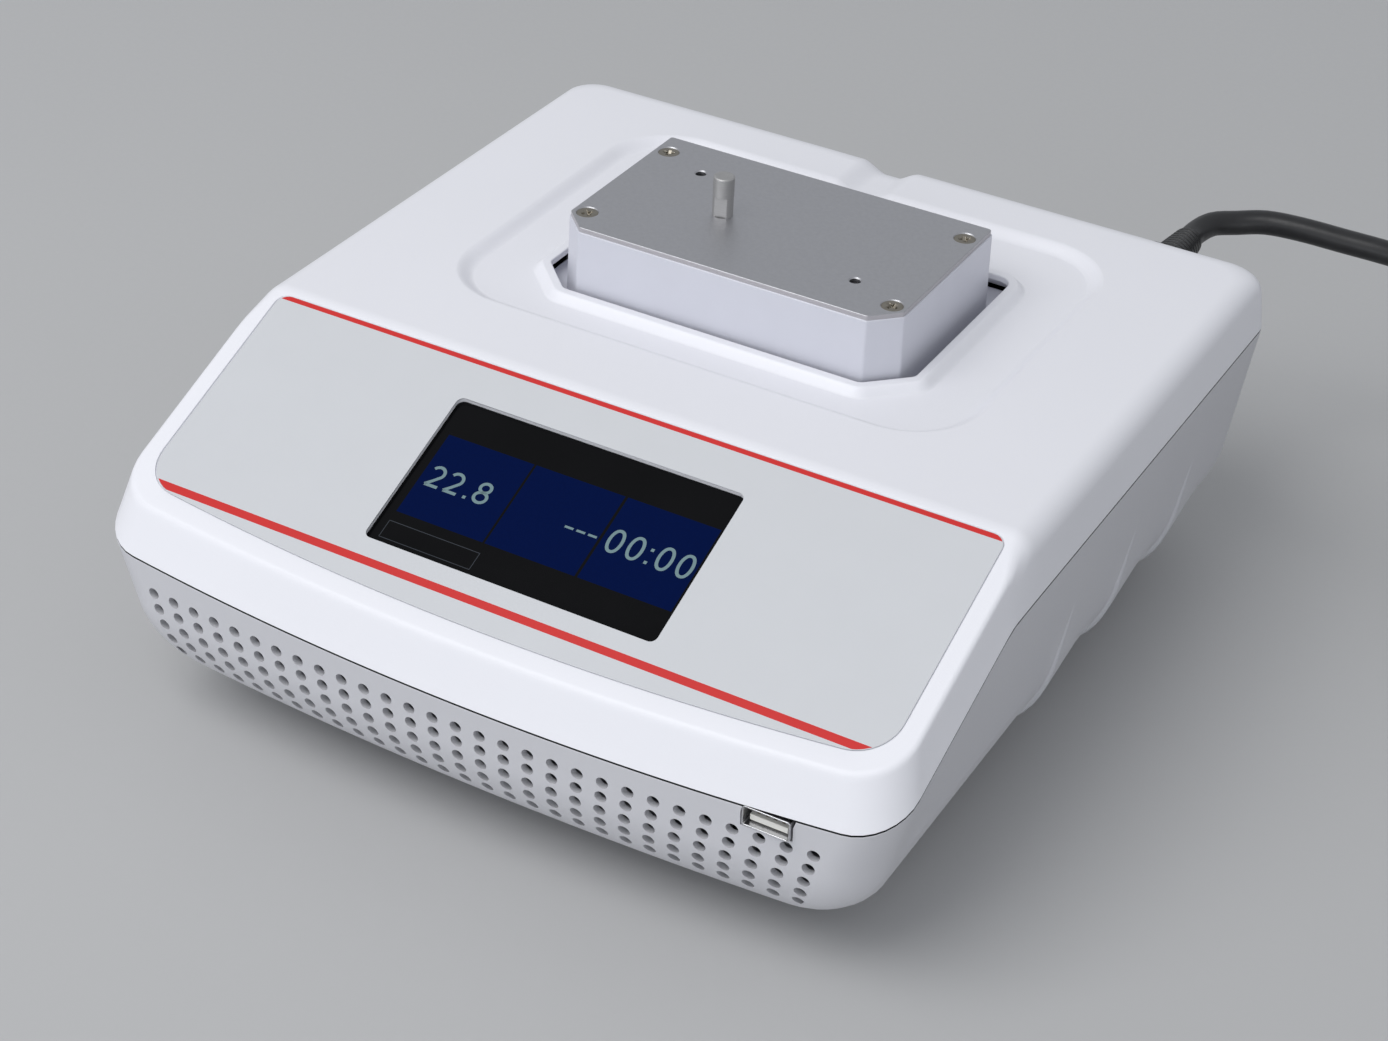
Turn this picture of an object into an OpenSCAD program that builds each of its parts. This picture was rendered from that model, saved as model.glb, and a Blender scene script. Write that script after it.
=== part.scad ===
// Bench-top heated orbital shaker for block-type tube and plate holders.
// Frame: millimetres, origin at the middle of the footprint on the bench,
// +X to the right, +Y to the back, +Z up.

/* [Housing] */
// Width of the housing
housing_w = 260; // [240:1:300]
// Depth of the housing from front to back
housing_d = 275; // [265:1:310]
// Height of the flat top above the bench
top_z = 105; // [102:0.5:112]
// Height of the bottom shell above the bench
floor_z = 7.5; // [5:0.5:9]
// Wall thickness of both shells
wall = 2.6; // [2:0.1:3.2]
// Thickness of the top wall
top_wall = 3; // [2.6:0.1:3.4]
// Plan radius of the front corners
front_corner_r = 16; // [10:1:24]
// Plan radius of the back corners
back_corner_r = 10; // [6:1:18]
// How far the front face bows out at its middle
front_bow = 5.5; // [3:0.5:8]
// Rounding of the top edges along the sides
edge_r = 4; // [2:0.5:5]
// Rounding of the top edge at the back
back_edge_r = 9; // [5:0.5:10]
// How far the upper shell's sides lean in up to the top
side_lean = 3.4; // [1:0.1:4]
// How far the upper shell's front leans in up to the slope
front_lean = 5.4; // [3:0.1:6]
// Bottom rounding of the lower shell at the sides
base_r = 36; // [28:1:38]
// Bottom rounding of the lower shell at the front
front_base_r = 34; // [28:1:38]

/* [Front slope] */
// Angle of the control slope
slope_angle = 22.7; // [20:0.1:24]
// Distance from the front edge back to the shoulder
slope_run = 89.8; // [86:0.2:96]
// Rounding radius of the shoulder
shoulder_r = 11; // [6:1:16]
// Drop of the seam below the top along the sides
seam_drop = 19.5; // [17:0.5:22]
// Distance from the front edge back to the bend of the seam
seam_run = 74.9; // [70:0.5:80]
// Visible gap between the shells
seam_gap = 0.5; // [0.2:0.1:0.8]

/* [Top opening] */
// Gap between the block's sides and the opening, with the block in mid orbit
side_gap = 6; // [4.5:0.1:8]
// Gap in front of the block in mid orbit
front_gap = 2.4; // [2.4:0.1:4]
// Gap behind the block in mid orbit
back_gap = 9.8; // [7:0.1:12]
// Thickness of the lip at the opening's edge
lip_t = 2; // [1.5:0.1:2.5]
// Width of the raised lip round the opening
lip_w = 3.5; // [2.5:0.5:5]
// Width of the shallow recess round the opening
recess_w = 178; // [170:1:190]
// Depth of the recess, front to back
recess_d = 133; // [126:1:140]
// How deep the recess lies below the top
recess_depth = 2.8; // [1.5:0.1:3]
// Plan radius of the recess corners
recess_r = 25; // [15:1:30]
// Width of the channel from the recess to the back
channel_w = 22; // [18:1:28]

/* [Control face] */
// Distance from the film's sides to the housing's sides
overlay_side = 9.5; // [8.5:0.5:16]
// Length of the film down the slope at its middle
overlay_h = 82.6; // [78:0.2:84]
// Thickness of the film
overlay_t = 0.5; // [0.3:0.1:0.8]
// Width of the visible display area
display_w = 95; // [80:0.5:100]
// Height of the visible display area
display_h = 53.3; // [48:0.1:56]
// Distance down the slope from the shoulder to the display
display_drop = 16.5; // [15:0.5:19]

/* [Block platform] */
// Width of the top plate
plate_w = 114; // [108:0.5:116]
// Depth of the top plate
plate_d = 70; // [66:0.5:71]
// Thickness of the top plate
plate_t = 3; // [2.5:0.1:4]
// Chamfer on the two front corners of the block
plate_chamfer = 8.2; // [5:0.1:10]
// Height of the plate's face above the housing top
plate_rise = 20.5; // [16:0.5:24]
// Wall of the skirt under the plate
skirt_wall = 3; // [2.5:0.1:4]
// Radius of the orbit that the block follows
orbit_r = 1.5; // [1:0.1:1.8]
// Bore radius of the two threaded holes
thread_bore_r = 1.65; // [1.25:0.05:2]
// Radius of the locating pin
pin_r = 3.3; // [2.5:0.1:4]
// Height of the locating pin above the plate
pin_h = 13; // [8:0.5:16]

/* [Drive] */
// Distance from the back of the housing to the drive axis
drive_back = 101.1; // [100:0.1:104]
// Radius of the main shaft
shaft_r = 5; // [4:0.5:6]
// Radius of the eccentric pin
crank_pin_r = 4; // [3.5:0.5:4.5]
// Radius of the idler cranks' pins
idler_pin_r = 3; // [2.5:0.5:3.5]
// Spacing of the idler cranks across the housing
idler_dx = 76; // [72:1:80]
// Spacing of the idler cranks, front to back
idler_dy = 40; // [36:1:44]
// Radial running clearance of shafts in their bearings
run_gap = 0.05; // [0.02:0.01:0.08]

/* [Rear] */
// Edge length of the cooling fan
fan_size = 50; // [45:1:50]
// Distance from the housing's left side to the fan's axis
fan_side = 68; // [62:1:72]
// Distance from the housing's right side to the power inlet's axis
inlet_side = 45; // [44:1:48]
// Height of the power inlet's axis above the bench
inlet_z = 80; // [79:0.5:81]
// Diameter of the mains cord
cord_d = 8.4; // [7:0.2:9]

/* [Hidden] */

$fn = 48;
eps = 0.01;
fit = 0.3;               // general assembly clearance
board_t = 1.6;           // thickness of the circuit boards

front_y = -housing_d / 2;
back_y = housing_d / 2;
half_w = housing_w / 2;
shoulder_y = front_y + slope_run;
seam_bend_y = front_y + seam_run;
seam_z = top_z - seam_drop;
seam_pitch = 22.57;      // fall of the seam ahead of its bend, degrees
bow_half_chord = half_w - 15;
bow_r = (bow_half_chord * bow_half_chord + front_bow * front_bow) / (2 * front_bow);

drive_y = back_y - drive_back;
fan_x = half_w - fan_side;
inlet_x = half_w - inlet_side;
block_x = orbit_r;       // the block rests at the right of its orbit
block_y = drive_y;
plate_z = top_z + plate_rise;
opening_y0 = drive_y - plate_d / 2 - front_gap;
opening_y1 = drive_y + plate_d / 2 + back_gap;
recess_y1 = back_y - 25;
recess_y0 = recess_y1 - recess_d;

// ---------- outlines ----------

function arc(cx, cy, r, a0, a1, n, last = true) = [
    for (i = [0:(last ? n : n - 1)])
        let (a = a0 + (a1 - a0) * i / n) [cx + r * cos(a), cy + r * sin(a)]
];

function round_rect(x0, x1, y0, y1, r, n = 6) = concat(
    arc(x1 - r, y0 + r, r, -90, 0, n), arc(x1 - r, y1 - r, r, 0, 90, n),
    arc(x0 + r, y1 - r, r, 90, 180, n), arc(x0 + r, y0 + r, r, 180, 270, n));

// Plan outline of the housing, drawn in at the sides, front and back.
function plan(side, front, back, rf = front_corner_r, rb = back_corner_r) =
    let (hw = half_w - side, yb = back_y - back, cy = front_y + front + bow_r,
         k = bow_r - rf, beta = asin((hw - rf) / k), yc = cy - k * cos(beta))
    concat(
        arc(0, cy, bow_r, -90 - beta, -90 + beta, 14, false),
        arc(hw - rf, yc, rf, -90 + beta, 0, 6),
        arc(hw - rb, yb - rb, rb, 0, 90, 5),
        arc(-hw + rb, yb - rb, rb, 90, 180, 5),
        arc(-hw + rf, yc, rf, 180, 270 - beta, 6, false));

// Side view of the top: flat, rounded shoulder, slope. Points are [y, z].
function roof(drop) =
    let (t = shoulder_r * tan(slope_angle / 2), reach = slope_run + 20)
    concat(
        [[back_y + 20, top_z - drop]],
        arc(shoulder_y + t, top_z - shoulder_r - drop, shoulder_r, 90, 90 + slope_angle, 5),
        [[shoulder_y - reach, top_z - reach * tan(slope_angle) - drop]]);

function seam_at(y) = seam_z - max(0, seam_bend_y - y) * tan(seam_pitch);

// Area under the seam in side view, lowered by drop. Points are [y, z].
function under_seam(drop, low) = [
    [front_y - 20, low], [back_y + 20, low], [back_y + 20, seam_z - drop],
    [seam_bend_y, seam_z - drop], [front_y - 20, seam_at(front_y - 20) - drop]];

// Outline of the top opening, grown by g: two front chamfers, round back corners.
gap_chamfer = 4;         // how much larger its chamfers are than the block's
function opening(g) =
    let (hx = plate_w / 2 + side_gap + g, y0 = opening_y0 - g, y1 = opening_y1 + g,
         c = plate_chamfer + gap_chamfer + g / 2, r = 5 + g)
    concat([[-hx + c, y0], [hx - c, y0], [hx, y0 + c]],
        arc(hx - r, y1 - r, r, 0, 90, 5), arc(-hx + r, y1 - r, r, 90, 180, 5),
        [[-hx, y0 + c]]);

// Outline of the block, drawn in by g: two chamfers at the front.
function block(g) =
    let (hx = plate_w / 2 - g, hy = plate_d / 2 - g, c = plate_chamfer - g / 2)
    [[-hx + c, -hy], [hx - c, -hy], [hx, -hy + c], [hx, hy], [-hx, hy], [-hx, -hy + c]];

// Outline of the film in slope coordinates (x, down the slope is -y).
overlay_w = housing_w - 2 * overlay_side;
overlay_top = 2.4;
overlay_r = 13;
overlay_bow_r = 1000;
function film(g) =
    let (hx = overlay_w / 2 + g, y1 = -overlay_top + g, y0 = y1 - overlay_h - 2 * g,
         rb = overlay_r + g, rt = 4 + g, k = overlay_bow_r - rb,
         beta = asin((hx - rb) / k), yc = y0 + overlay_bow_r - k * cos(beta))
    concat(
        arc(0, y0 + overlay_bow_r, overlay_bow_r, -90 - beta, -90 + beta, 10, false),
        arc(hx - rb, yc, rb, -90 + beta, 0, 6),
        arc(hx - rt, y1 - rt, rt, 0, 90, 4), arc(-hx + rt, y1 - rt, rt, 90, 180, 4),
        arc(-hx + rb, yc, rb, 180, 270 - beta, 6, false));

// ---------- helpers ----------

// Extrudes a [y, z] outline across the housing.
module across(pts, w) {
    rotate([90, 0, 90]) linear_extrude(w, center = true) polygon(pts);
}

module slab(pts, z, h) {
    translate([0, 0, z]) linear_extrude(h) polygon(pts);
}

// Local frame on the slope: origin on the shoulder, -y down the slope, +z outward.
module on_slope() {
    translate([0, shoulder_y, top_z]) rotate([slope_angle, 0, 0]) children();
}

module at_drive() {
    translate([0, drive_y, 0]) children();
}

module at_block() {
    translate([block_x, block_y, 0]) children();
}

module ring(r_out, r_in, h) {
    difference() {
        cylinder(r = r_out, h = h);
        translate([0, 0, -eps]) cylinder(r = r_in, h = h + 2 * eps);
    }
}

// Machine screw along +z, its head below z = 0.
module screw(r, len, head_r, head_h) {
    cylinder(r = r, h = len);
    translate([0, 0, -head_h]) difference() {
        cylinder(r = head_r, h = head_h);
        for (a = [0, 90])
            rotate(a) translate([-head_r * 0.6, -0.35, -eps])
                cube([head_r * 1.2, 0.7, head_h * 0.5]);
    }
}

module four(dx, dy) {
    for (sx = [-1, 1], sy = [-1, 1]) translate([sx * dx / 2, sy * dy / 2, 0]) children();
}

// ---------- lower shell ----------

side_tilt = 7;
front_tilt = 4;
floor_t = 3;

// How far a wall is drawn in at height z: a tilted flat, then the bottom rounding.
function draw_in(z, tilt, high, r) =
    let (low = floor_z + r * (1 - sin(tilt)), flat = (high - max(z, low)) * tan(tilt))
    z >= low ? flat
        : flat + r * (cos(tilt) - cos(asin(min(1, sin(tilt) + (low - z) / r))));

back_base_r = 26;
function base_plan(z, g) =
    let (s = draw_in(z, side_tilt, seam_z, base_r),
         f = draw_in(z, front_tilt, seam_at(front_y), front_base_r),
         b = draw_in(z, 0, seam_z, back_base_r))
    plan(s + g, f + g, b + g, front_corner_r - g * 0.5, back_corner_r + b * 0.4);

base_top = floor_z + base_r * (1 - sin(side_tilt));
base_steps = 8;
base_levels = [for (i = [0:base_steps])
    floor_z + (base_top - floor_z) * (1 - sin(90 * i / base_steps))];

module lower_outer() {
    hull() {
        intersection() {
            slab(plan(0, 0, 0), base_top, top_z);
            difference() {
                across(under_seam(0, 0), housing_w + 2);
                across(under_seam(0.4, -1), housing_w + 4);
            }
        }
        for (z = base_levels) slab(base_plan(z, 0), z, 0.05);
    }
}

module lower_inner() {
    hull() {
        slab(plan(wall, wall, wall), seam_z + 5, 1);
        for (i = [0:2:base_steps])
            slab(base_plan(base_levels[i], wall), base_levels[i] + (i == 0 ? 0 : floor_t), 0.05);
    }
}

hole_cols = 14;          // columns on each side of the middle one
hole_r = 1.9;
hole_pitch = 7.75;
hole_row = 5.25;         // pitch of the rows in height
hole_top = floor_z + 38.5;
hole_narrow = 0.012;     // share by which each row is narrower than the one above
module intake_holes() {
    for (row = [0:4], col = [-hole_cols:hole_cols])
        translate([col * hole_pitch * (1 - hole_narrow * row), front_y - 1, hole_top - hole_row * row])
            rotate([-90, 0, 0]) cylinder(r = hole_r, h = 34, $fn = 24);
}

// One raised gill on the right wall: a step that faces forward and fades to the
// back. Each level is a triangle: crest, root ahead of it, and tail behind it.
gill_step = 2.2;
gill_len = 44;
gill_pitch = 47.6;
gill_lean = 0.29;
gill_top = floor_z + 51.5;
gill_full = floor_z + 15.3;
gill_levels = [gill_top, gill_top - 9, gill_top - 20, gill_top - 29, gill_full,
    gill_full - 6, gill_full - 11];
module gill(y) {
    n = len(gill_levels);
    points = [for (z = gill_levels)
        let (x = half_w - draw_in(z, side_tilt, seam_z, base_r), yc = y - (gill_top - z) * gill_lean,
             grow = (gill_top - z) / (gill_top - gill_full), fade = (z - floor_z) / (gill_full - floor_z),
             s = gill_step * min(grow, fade) + 0.05)
        each [[x + s, yc, z], [x - 1.2, yc - 0.6, z], [x - 1.2, yc + gill_len, z]]];
    polyhedron(points = points, faces = concat([[0, 1, 2]],
        [for (i = [0:n - 2], k = [0:2])
            let (a = 3 * i + k, b = 3 * i + (k + 1) % 3) each [[a, a + 3, b], [b, a + 3, b + 3]]],
        [[3 * n - 1, 3 * n - 2, 3 * n - 3]]));
}

post_x = half_w - 46;
post_front_y = front_y + 42.5;
post_back_y = back_y - 47.5;
post_r = 5;
post_screw_r = 1.45;
post_seat = 12;          // from the seam down to the screw head
module at_posts() {
    for (sx = [-1, 1], y = [post_front_y, post_back_y]) translate([sx * post_x, y, 0]) {
        $seam = seam_at(y);
        children();
    }
}

foot_r = 9;
foot_dx = housing_w - 116;
foot_front_y = front_y + 50;
foot_back_y = back_y - 50;
foot_seat = 1.5;
module at_feet() {
    for (sx = [-1, 1], y = [foot_front_y, foot_back_y])
        translate([sx * foot_dx / 2, y, 0]) children();
}

usb_x = half_w - 35;
usb_w = 14.4;
usb_h = 6.6;
usb_y = front_y + usb_x * usb_x / (2 * bow_r) - 0.3;
usb_z = seam_at(usb_y) - usb_h - 0.2;

panel_t = 1.5;
panel_x0 = -half_w + 26;
panel_x1 = half_w - 20;
panel_z0 = 40;
panel_z1 = top_z - 8.1;
panel_y = back_y - wall - panel_t;
window_edge = 3.5;
module rear_window(g) {
    translate([panel_x0 + window_edge - g, back_y - wall - 6, panel_z0 + window_edge - g])
        cube([panel_x1 - panel_x0 - 2 * window_edge + 2 * g, wall + 12,
              panel_z1 - panel_z0 - 2 * window_edge + 2 * g]);
}

base_t = 1.5;
base_z = floor_z + floor_t + 3.5;
base_x = half_w - 32;
base_y0 = front_y + 54;
base_y1 = back_y - 28;
base_boss_r = 4;
module at_base_screws() {
    for (sx = [-1, 1], y = [base_y0 + 8, base_y1 - 8])
        translate([sx * (base_x - 30), y, 0]) children();
}

module lower_housing() {
    color([0.86, 0.87, 0.89]) difference() {
        union() {
            difference() {
                intersection() {
                    lower_outer();
                    across(under_seam(seam_gap, -1), housing_w + 4);
                }
                lower_inner();
            }
            for (sx = [0, 1], i = [0:2])
                mirror([sx, 0, 0]) gill(drive_y - 41 + gill_pitch * i);
            intersection() {
                at_posts() translate([0, 0, floor_z + 1])
                    cylinder(r = post_r, h = $seam - seam_gap - floor_z - 1);
                across(under_seam(seam_gap, -1), housing_w);
            }
            at_base_screws() translate([0, 0, floor_z + 1])
                cylinder(r = base_boss_r, h = base_z - floor_z - 1);
        }
        intake_holes();
        rear_window(0);
        at_posts() {
            translate([0, 0, -1]) cylinder(r = 3.3, h = $seam - post_seat + 1);
            cylinder(r = post_screw_r + 0.25, h = top_z);
        }
        at_base_screws() translate([0, 0, floor_z + 2]) cylinder(r = 1.25, h = 10);
        at_feet() translate([0, 0, -1]) cylinder(r = foot_r + 0.2, h = floor_z + foot_seat + 1);
        translate([usb_x - usb_w / 2 - fit, usb_y - 5, usb_z - fit])
            cube([usb_w + 2 * fit, 30, usb_h + 20]);
    }
}

// ---------- upper shell ----------

// Inset of a wall at depth d below the roof. The wall leans in by t per millimetre
// to inset c at the roof, where its edge is rounded by r.
function rim_in(d, c, t, r) =
    d > r * (1 - sin(atan(t))) ? c - d * t
        : c + r / cos(atan(t)) - r * t - sqrt(r * r - (r - d) * (r - d));

front_edge_r = 1.8;
front_rise = top_z - slope_run * tan(slope_angle) - seam_at(front_y);
rim_steps = [1, 0.62, 0.36, 0.2, 0.09, 0.03, 0];
module upper_outer() {
    hull() {
        intersection() {
            slab(plan(0, 0, 0), seam_at(front_y) - 10, top_z);
            difference() {
                across(under_seam(0, 0), housing_w + 2);
                across(under_seam(0.4, -1), housing_w + 4);
            }
        }
        for (k = rim_steps) {
            d = k * back_edge_r;
            intersection() {
                slab(plan(rim_in(d, side_lean, side_lean / seam_drop, edge_r),
                    rim_in(d, front_lean, front_lean / front_rise, front_edge_r),
                    rim_in(d, 0, 0, back_edge_r)), seam_at(front_y) - 10, top_z);
                across(concat([[front_y - 30, 0], [back_y + 20, 0]], roof(d)), housing_w + 2);
            }
        }
    }
}

inner_round = 3;         // depth of the bevel inside the top edge
module upper_inner() {
    hull() {
        intersection() {
            slab(plan(wall, wall, wall), seam_at(front_y) - 20, top_z);
            across(under_seam(0, 0), housing_w + 2);
        }
        for (a = [0, 1]) {
            d = top_wall + (1 - a) * inner_round;
            intersection() {
                slab(plan(wall + side_lean - d * side_lean / seam_drop + a * inner_round,
                    wall + front_lean - d * front_lean / front_rise + a * 2, wall + a * 2),
                    seam_at(front_y) - 20, top_z);
                across(concat([[front_y - 30, 0], [back_y + 20, 0]], roof(d)), housing_w + 2);
            }
        }
    }
}

recess_wall = 5;         // width of the recess's soft wall
module recess_cut() {
    hull() {
        slab(round_rect(-recess_w / 2, recess_w / 2, recess_y0, recess_y1, recess_r, 8),
            top_z, 0.1);
        slab(round_rect(-recess_w / 2 + recess_wall, recess_w / 2 - recess_wall,
            recess_y0 + recess_wall, recess_y1 - recess_wall, recess_r - recess_wall, 8),
            top_z - recess_depth, 0.1);
    }
}

channel_x = -4.5;
channel_slope = 8.5;
channel_drop = 1.3;      // how much deeper than the recess the channel is at the back
module channel_end(y, depth) {
    translate([channel_x, y, 0]) rotate([90, 0, 0]) linear_extrude(eps)
        polygon([[-channel_w / 2, top_z + 1], [-channel_w / 2, top_z],
            [-channel_w / 2 + channel_slope, top_z - depth],
            [channel_w / 2 - channel_slope, top_z - depth],
            [channel_w / 2, top_z], [channel_w / 2, top_z + 1]]);
}

module channel_cut() {
    hull() {
        channel_end(recess_y1 - recess_wall - 1, recess_depth);
        channel_end(back_y + 1, recess_depth + channel_drop);
    }
}

// Space under the lip, which opens out below it.
under_lip = 1.5;
under_flare = 2.5;
module under_lip_cut() {
    low = top_z - recess_depth - top_wall - eps;
    hull() {
        slab(opening(under_lip), top_z - lip_t - eps, eps);
        slab(opening(under_lip + under_flare), low, eps);
    }
}

window_wall = 1.7;       // front wall left over the touch glass
window_gap = 0.2;        // the shell's window stands back from the film's
glass_w = 105;
glass_h = 67;
display_mid = display_drop + display_h / 2;
board_w = 128;
board_h = 74;
board_depth = 7.4;       // from the slope's face in to the display board
display_screw_dx = board_w - 8;
display_screw_dy = board_h - 8;

module at_display() {
    on_slope() translate([0, -display_mid, 0]) children();
}

module upper_shell() {
    difference() {
        upper_outer();
        recess_cut();
        channel_cut();
        difference() {
            upper_inner();
            slab(round_rect(-recess_w / 2 - 1, recess_w / 2 + 1, recess_y0 - 1,
                back_y, recess_r, 8), top_z - recess_depth - top_wall, 20);
        }
    }
}

module upper_housing() {
    color([0.95, 0.95, 0.97]) difference() {
        intersection() {
            union() {
                upper_shell();
                slab(opening(lip_w), top_z - recess_depth - 1, recess_depth + 1);
                at_posts() translate([0, 0, $seam - 4]) cylinder(r = 4, h = top_z - $seam + 1);
                at_display() four(display_screw_dx, display_screw_dy)
                    translate([0, 0, -board_depth]) cylinder(r = 2.8, h = board_depth - 1);
            }
            across(concat([[front_y - 30, 0], [back_y + 20, 0]], roof(0)), housing_w + 20);
        }
        across(under_seam(0, -1), housing_w + 4);
        slab(opening(0), 0, top_z + 20);
        under_lip_cut();
        rear_window(0);
        at_posts() cylinder(r = post_screw_r + 0.05, h = top_z - top_wall - recess_depth);
        on_slope() translate([0, 0, -overlay_t - 0.1]) linear_extrude(5) polygon(film(0.15));
        at_display() {
            translate([-display_w / 2 - window_gap, -display_h / 2 - window_gap, -10])
                cube([display_w + 2 * window_gap, display_h + 2 * window_gap, 20]);
            translate([-glass_w / 2 - fit, -glass_h / 2 - fit, -window_wall - 10])
                cube([glass_w + 2 * fit, glass_h + 2 * fit, 10]);
            four(display_screw_dx, display_screw_dy) translate([0, 0, -board_depth - 1])
                cylinder(r = 1.15, h = 6);
        }
    }
}

module control_overlay() {
    color([0.8, 0.81, 0.83]) difference() {
        on_slope() translate([0, 0, -overlay_t - 0.1]) linear_extrude(overlay_t)
            polygon(film(0));
        at_display() translate([-display_w / 2, -display_h / 2, -5])
            cube([display_w, display_h, 10]);
    }
}

// ---------- display ----------

glass_t = 1.1;
lcd_t = 3.4;
module touch_glass() {
    color([0.03, 0.03, 0.04]) at_display()
        translate([-glass_w / 2, -glass_h / 2, -window_wall - glass_t])
            cube([glass_w, glass_h, glass_t]);
}

module lcd_module() {
    color([0.6, 0.62, 0.64]) at_display()
        translate([-glass_w / 2 + 0.5, -glass_h / 2 + 0.5, -window_wall - glass_t - lcd_t])
            cube([glass_w - 1, glass_h - 1, lcd_t]);
}

module display_board() {
    color([0.1, 0.35, 0.2]) at_display() translate([0, 0, -board_depth - board_t]) difference() {
        union() {
            translate([-board_w / 2, -board_h / 2, 0]) cube([board_w, board_h, board_t]);
            translate([-40, -8, -3]) cube([22, 16, 3]);
            translate([8, 6, -2]) cube([14, 14, 2]);
            translate([-55, 22, -7]) cube([26, 6, 7]);
            for (x = [-glass_w / 2 + 4, glass_w / 2 - 10]) translate([x, -3, board_t])
                cube([6, 6, board_depth - window_wall - glass_t - lcd_t]);
        }
        four(display_screw_dx, display_screw_dy) translate([0, 0, -1]) cylinder(r = 1.4, h = 4);
    }
}

module display_screws() {
    color([0.6, 0.6, 0.6]) at_display() four(display_screw_dx, display_screw_dy)
        translate([0, 0, -board_depth - board_t]) screw(1.1, 6, 2.2, 1.6);
}

// ---------- block platform ----------

screw_dx = 103.8;
screw_dy = 49.6;
thread_x = 36.05;
thread_y = 17.45;
pin_x = -17;
pin_y = -2.7;
plate_screw_head_r = 3.5;
plate_screw_r = 1.9;
plate_inset = 0.4;       // how far the plate's edge lies inside the skirt's face
plate_rim = 1.5;         // thickness of the plate's rim, which rests on the skirt
thread_boss_r = 4;
thread_boss_h = 5;
sink_t = 2.2;            // depth of the plate screws' countersink

module at_threads() {
    for (s = [-1, 1]) translate([s * thread_x, -s * thread_y, 0]) children();
}

// Through hole and countersink of one plate screw, at the plate's face.
module screw_sink() {
    translate([0, 0, -plate_t - 9]) cylinder(r = plate_screw_r + 0.15, h = plate_t + 10);
    translate([0, 0, -sink_t])
        cylinder(r1 = plate_screw_r + 0.15, r2 = plate_screw_head_r + 0.25, h = sink_t + eps);
}

module top_plate() {
    color([0.66, 0.67, 0.69]) at_block() difference() {
        union() {
            slab(block(plate_inset), plate_z - plate_rim, plate_rim);
            slab(block(skirt_wall + 0.1), plate_z - plate_t, plate_t);
            at_threads() translate([0, 0, plate_z - plate_t - thread_boss_h])
                cylinder(r = thread_boss_r, h = thread_boss_h + 1);
        }
        at_threads() translate([0, 0, plate_z - 12]) cylinder(r = thread_bore_r, h = 20);
        translate([pin_x, pin_y, plate_z - 12]) cylinder(r = pin_seat_r, h = 20);
        translate([pin_x, pin_y, plate_z - pin_sink]) cylinder(r = pin_neck_r + 0.1, h = 20);
        four(screw_dx, screw_dy) translate([0, 0, plate_z]) screw_sink();
    }
}

module plate_screws() {
    color([0.6, 0.58, 0.52]) at_block() four(screw_dx, screw_dy)
        translate([0, 0, plate_z]) difference() {
            union() {
                translate([0, 0, 0.1 - sink_t])
                    cylinder(r1 = plate_screw_r, r2 = plate_screw_head_r - 0.1, h = sink_t - 0.3);
                translate([0, 0, -10]) cylinder(r = plate_screw_r, h = 8);
            }
            for (a = [20, 110]) rotate(a) translate([-2, -0.45, -1.3]) cube([4, 0.9, 2]);
        }
}

pin_seat_r = 2.5;
pin_neck_r = pin_r - 0.2;
pin_sink = 1;            // how far the pin's neck sits in the plate
pin_flat = 2.56;         // half distance across the pin's wrench flats
pin_turn = 12;           // how far the flats are turned from facing the front
pin_edge = 0.6;
module locating_pin() {
    color([0.72, 0.72, 0.71]) at_block() translate([pin_x, pin_y, plate_z]) {
        difference() {
            cylinder(r = pin_neck_r, h = pin_h / 2);
            rotate(pin_turn) for (s = [0, 1]) mirror([0, s, 0])
                translate([-pin_r - 1, pin_flat, -eps]) cube([2 * pin_r + 2, 4, pin_h]);
        }
        translate([0, 0, pin_h / 2 - eps]) cylinder(r = pin_r, h = pin_h / 2 - pin_edge + eps);
        translate([0, 0, pin_h - pin_edge - eps])
            cylinder(r1 = pin_r, r2 = pin_r - pin_edge, h = pin_edge + eps);
        translate([0, 0, -pin_sink]) cylinder(r = pin_neck_r, h = pin_sink + eps);
        translate([0, 0, -plate_t - 2]) cylinder(r = pin_seat_r, h = plate_t + 2);
    }
}

carrier_t = 5;
carrier_top = top_z - 10;
skirt_screw_boss_r = 4;
skirt_draft = 0.6;       // how far the skirt's foot stands out beyond its top edge
tray_side = 10;          // how far the tray round the skirt reaches sideways
tray_front = 12.2;       // how far it reaches forward and back
tray_t = 1.5;
tray_gap = 0.5;          // running clearance under the recess floor
tray_top = top_z - recess_depth - top_wall - tray_gap;
tray_r = 8;
module platform_skirt() {
    h = plate_z - plate_t - carrier_top;
    rim = plate_t - plate_rim;
    tray_x = plate_w / 2 + tray_side;
    tray_y = plate_d / 2 + tray_front;
    color([0.8, 0.81, 0.85]) at_block() difference() {
        union() {
            difference() {
                union() {
                    hull() {
                        slab(block(-skirt_draft), carrier_top, eps);
                        slab(block(0), carrier_top + h + rim - eps, eps);
                    }
                    slab(round_rect(-tray_x, tray_x, -tray_y, tray_y, tray_r),
                        tray_top - tray_t, tray_t);
                }
                slab(block(skirt_wall), carrier_top - 1, h + rim + 2);
            }
            intersection() {
                four(screw_dx, screw_dy) translate([0, 0, carrier_top])
                    cylinder(r = skirt_screw_boss_r, h = h);
                slab(block(1), carrier_top, h);
            }
        }
        four(screw_dx, screw_dy) {
            translate([0, 0, plate_z]) screw_sink();
            translate([0, 0, carrier_top - 1]) cylinder(r = carrier_screw_r + 0.1, h = 9);
        }
    }
}

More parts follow.
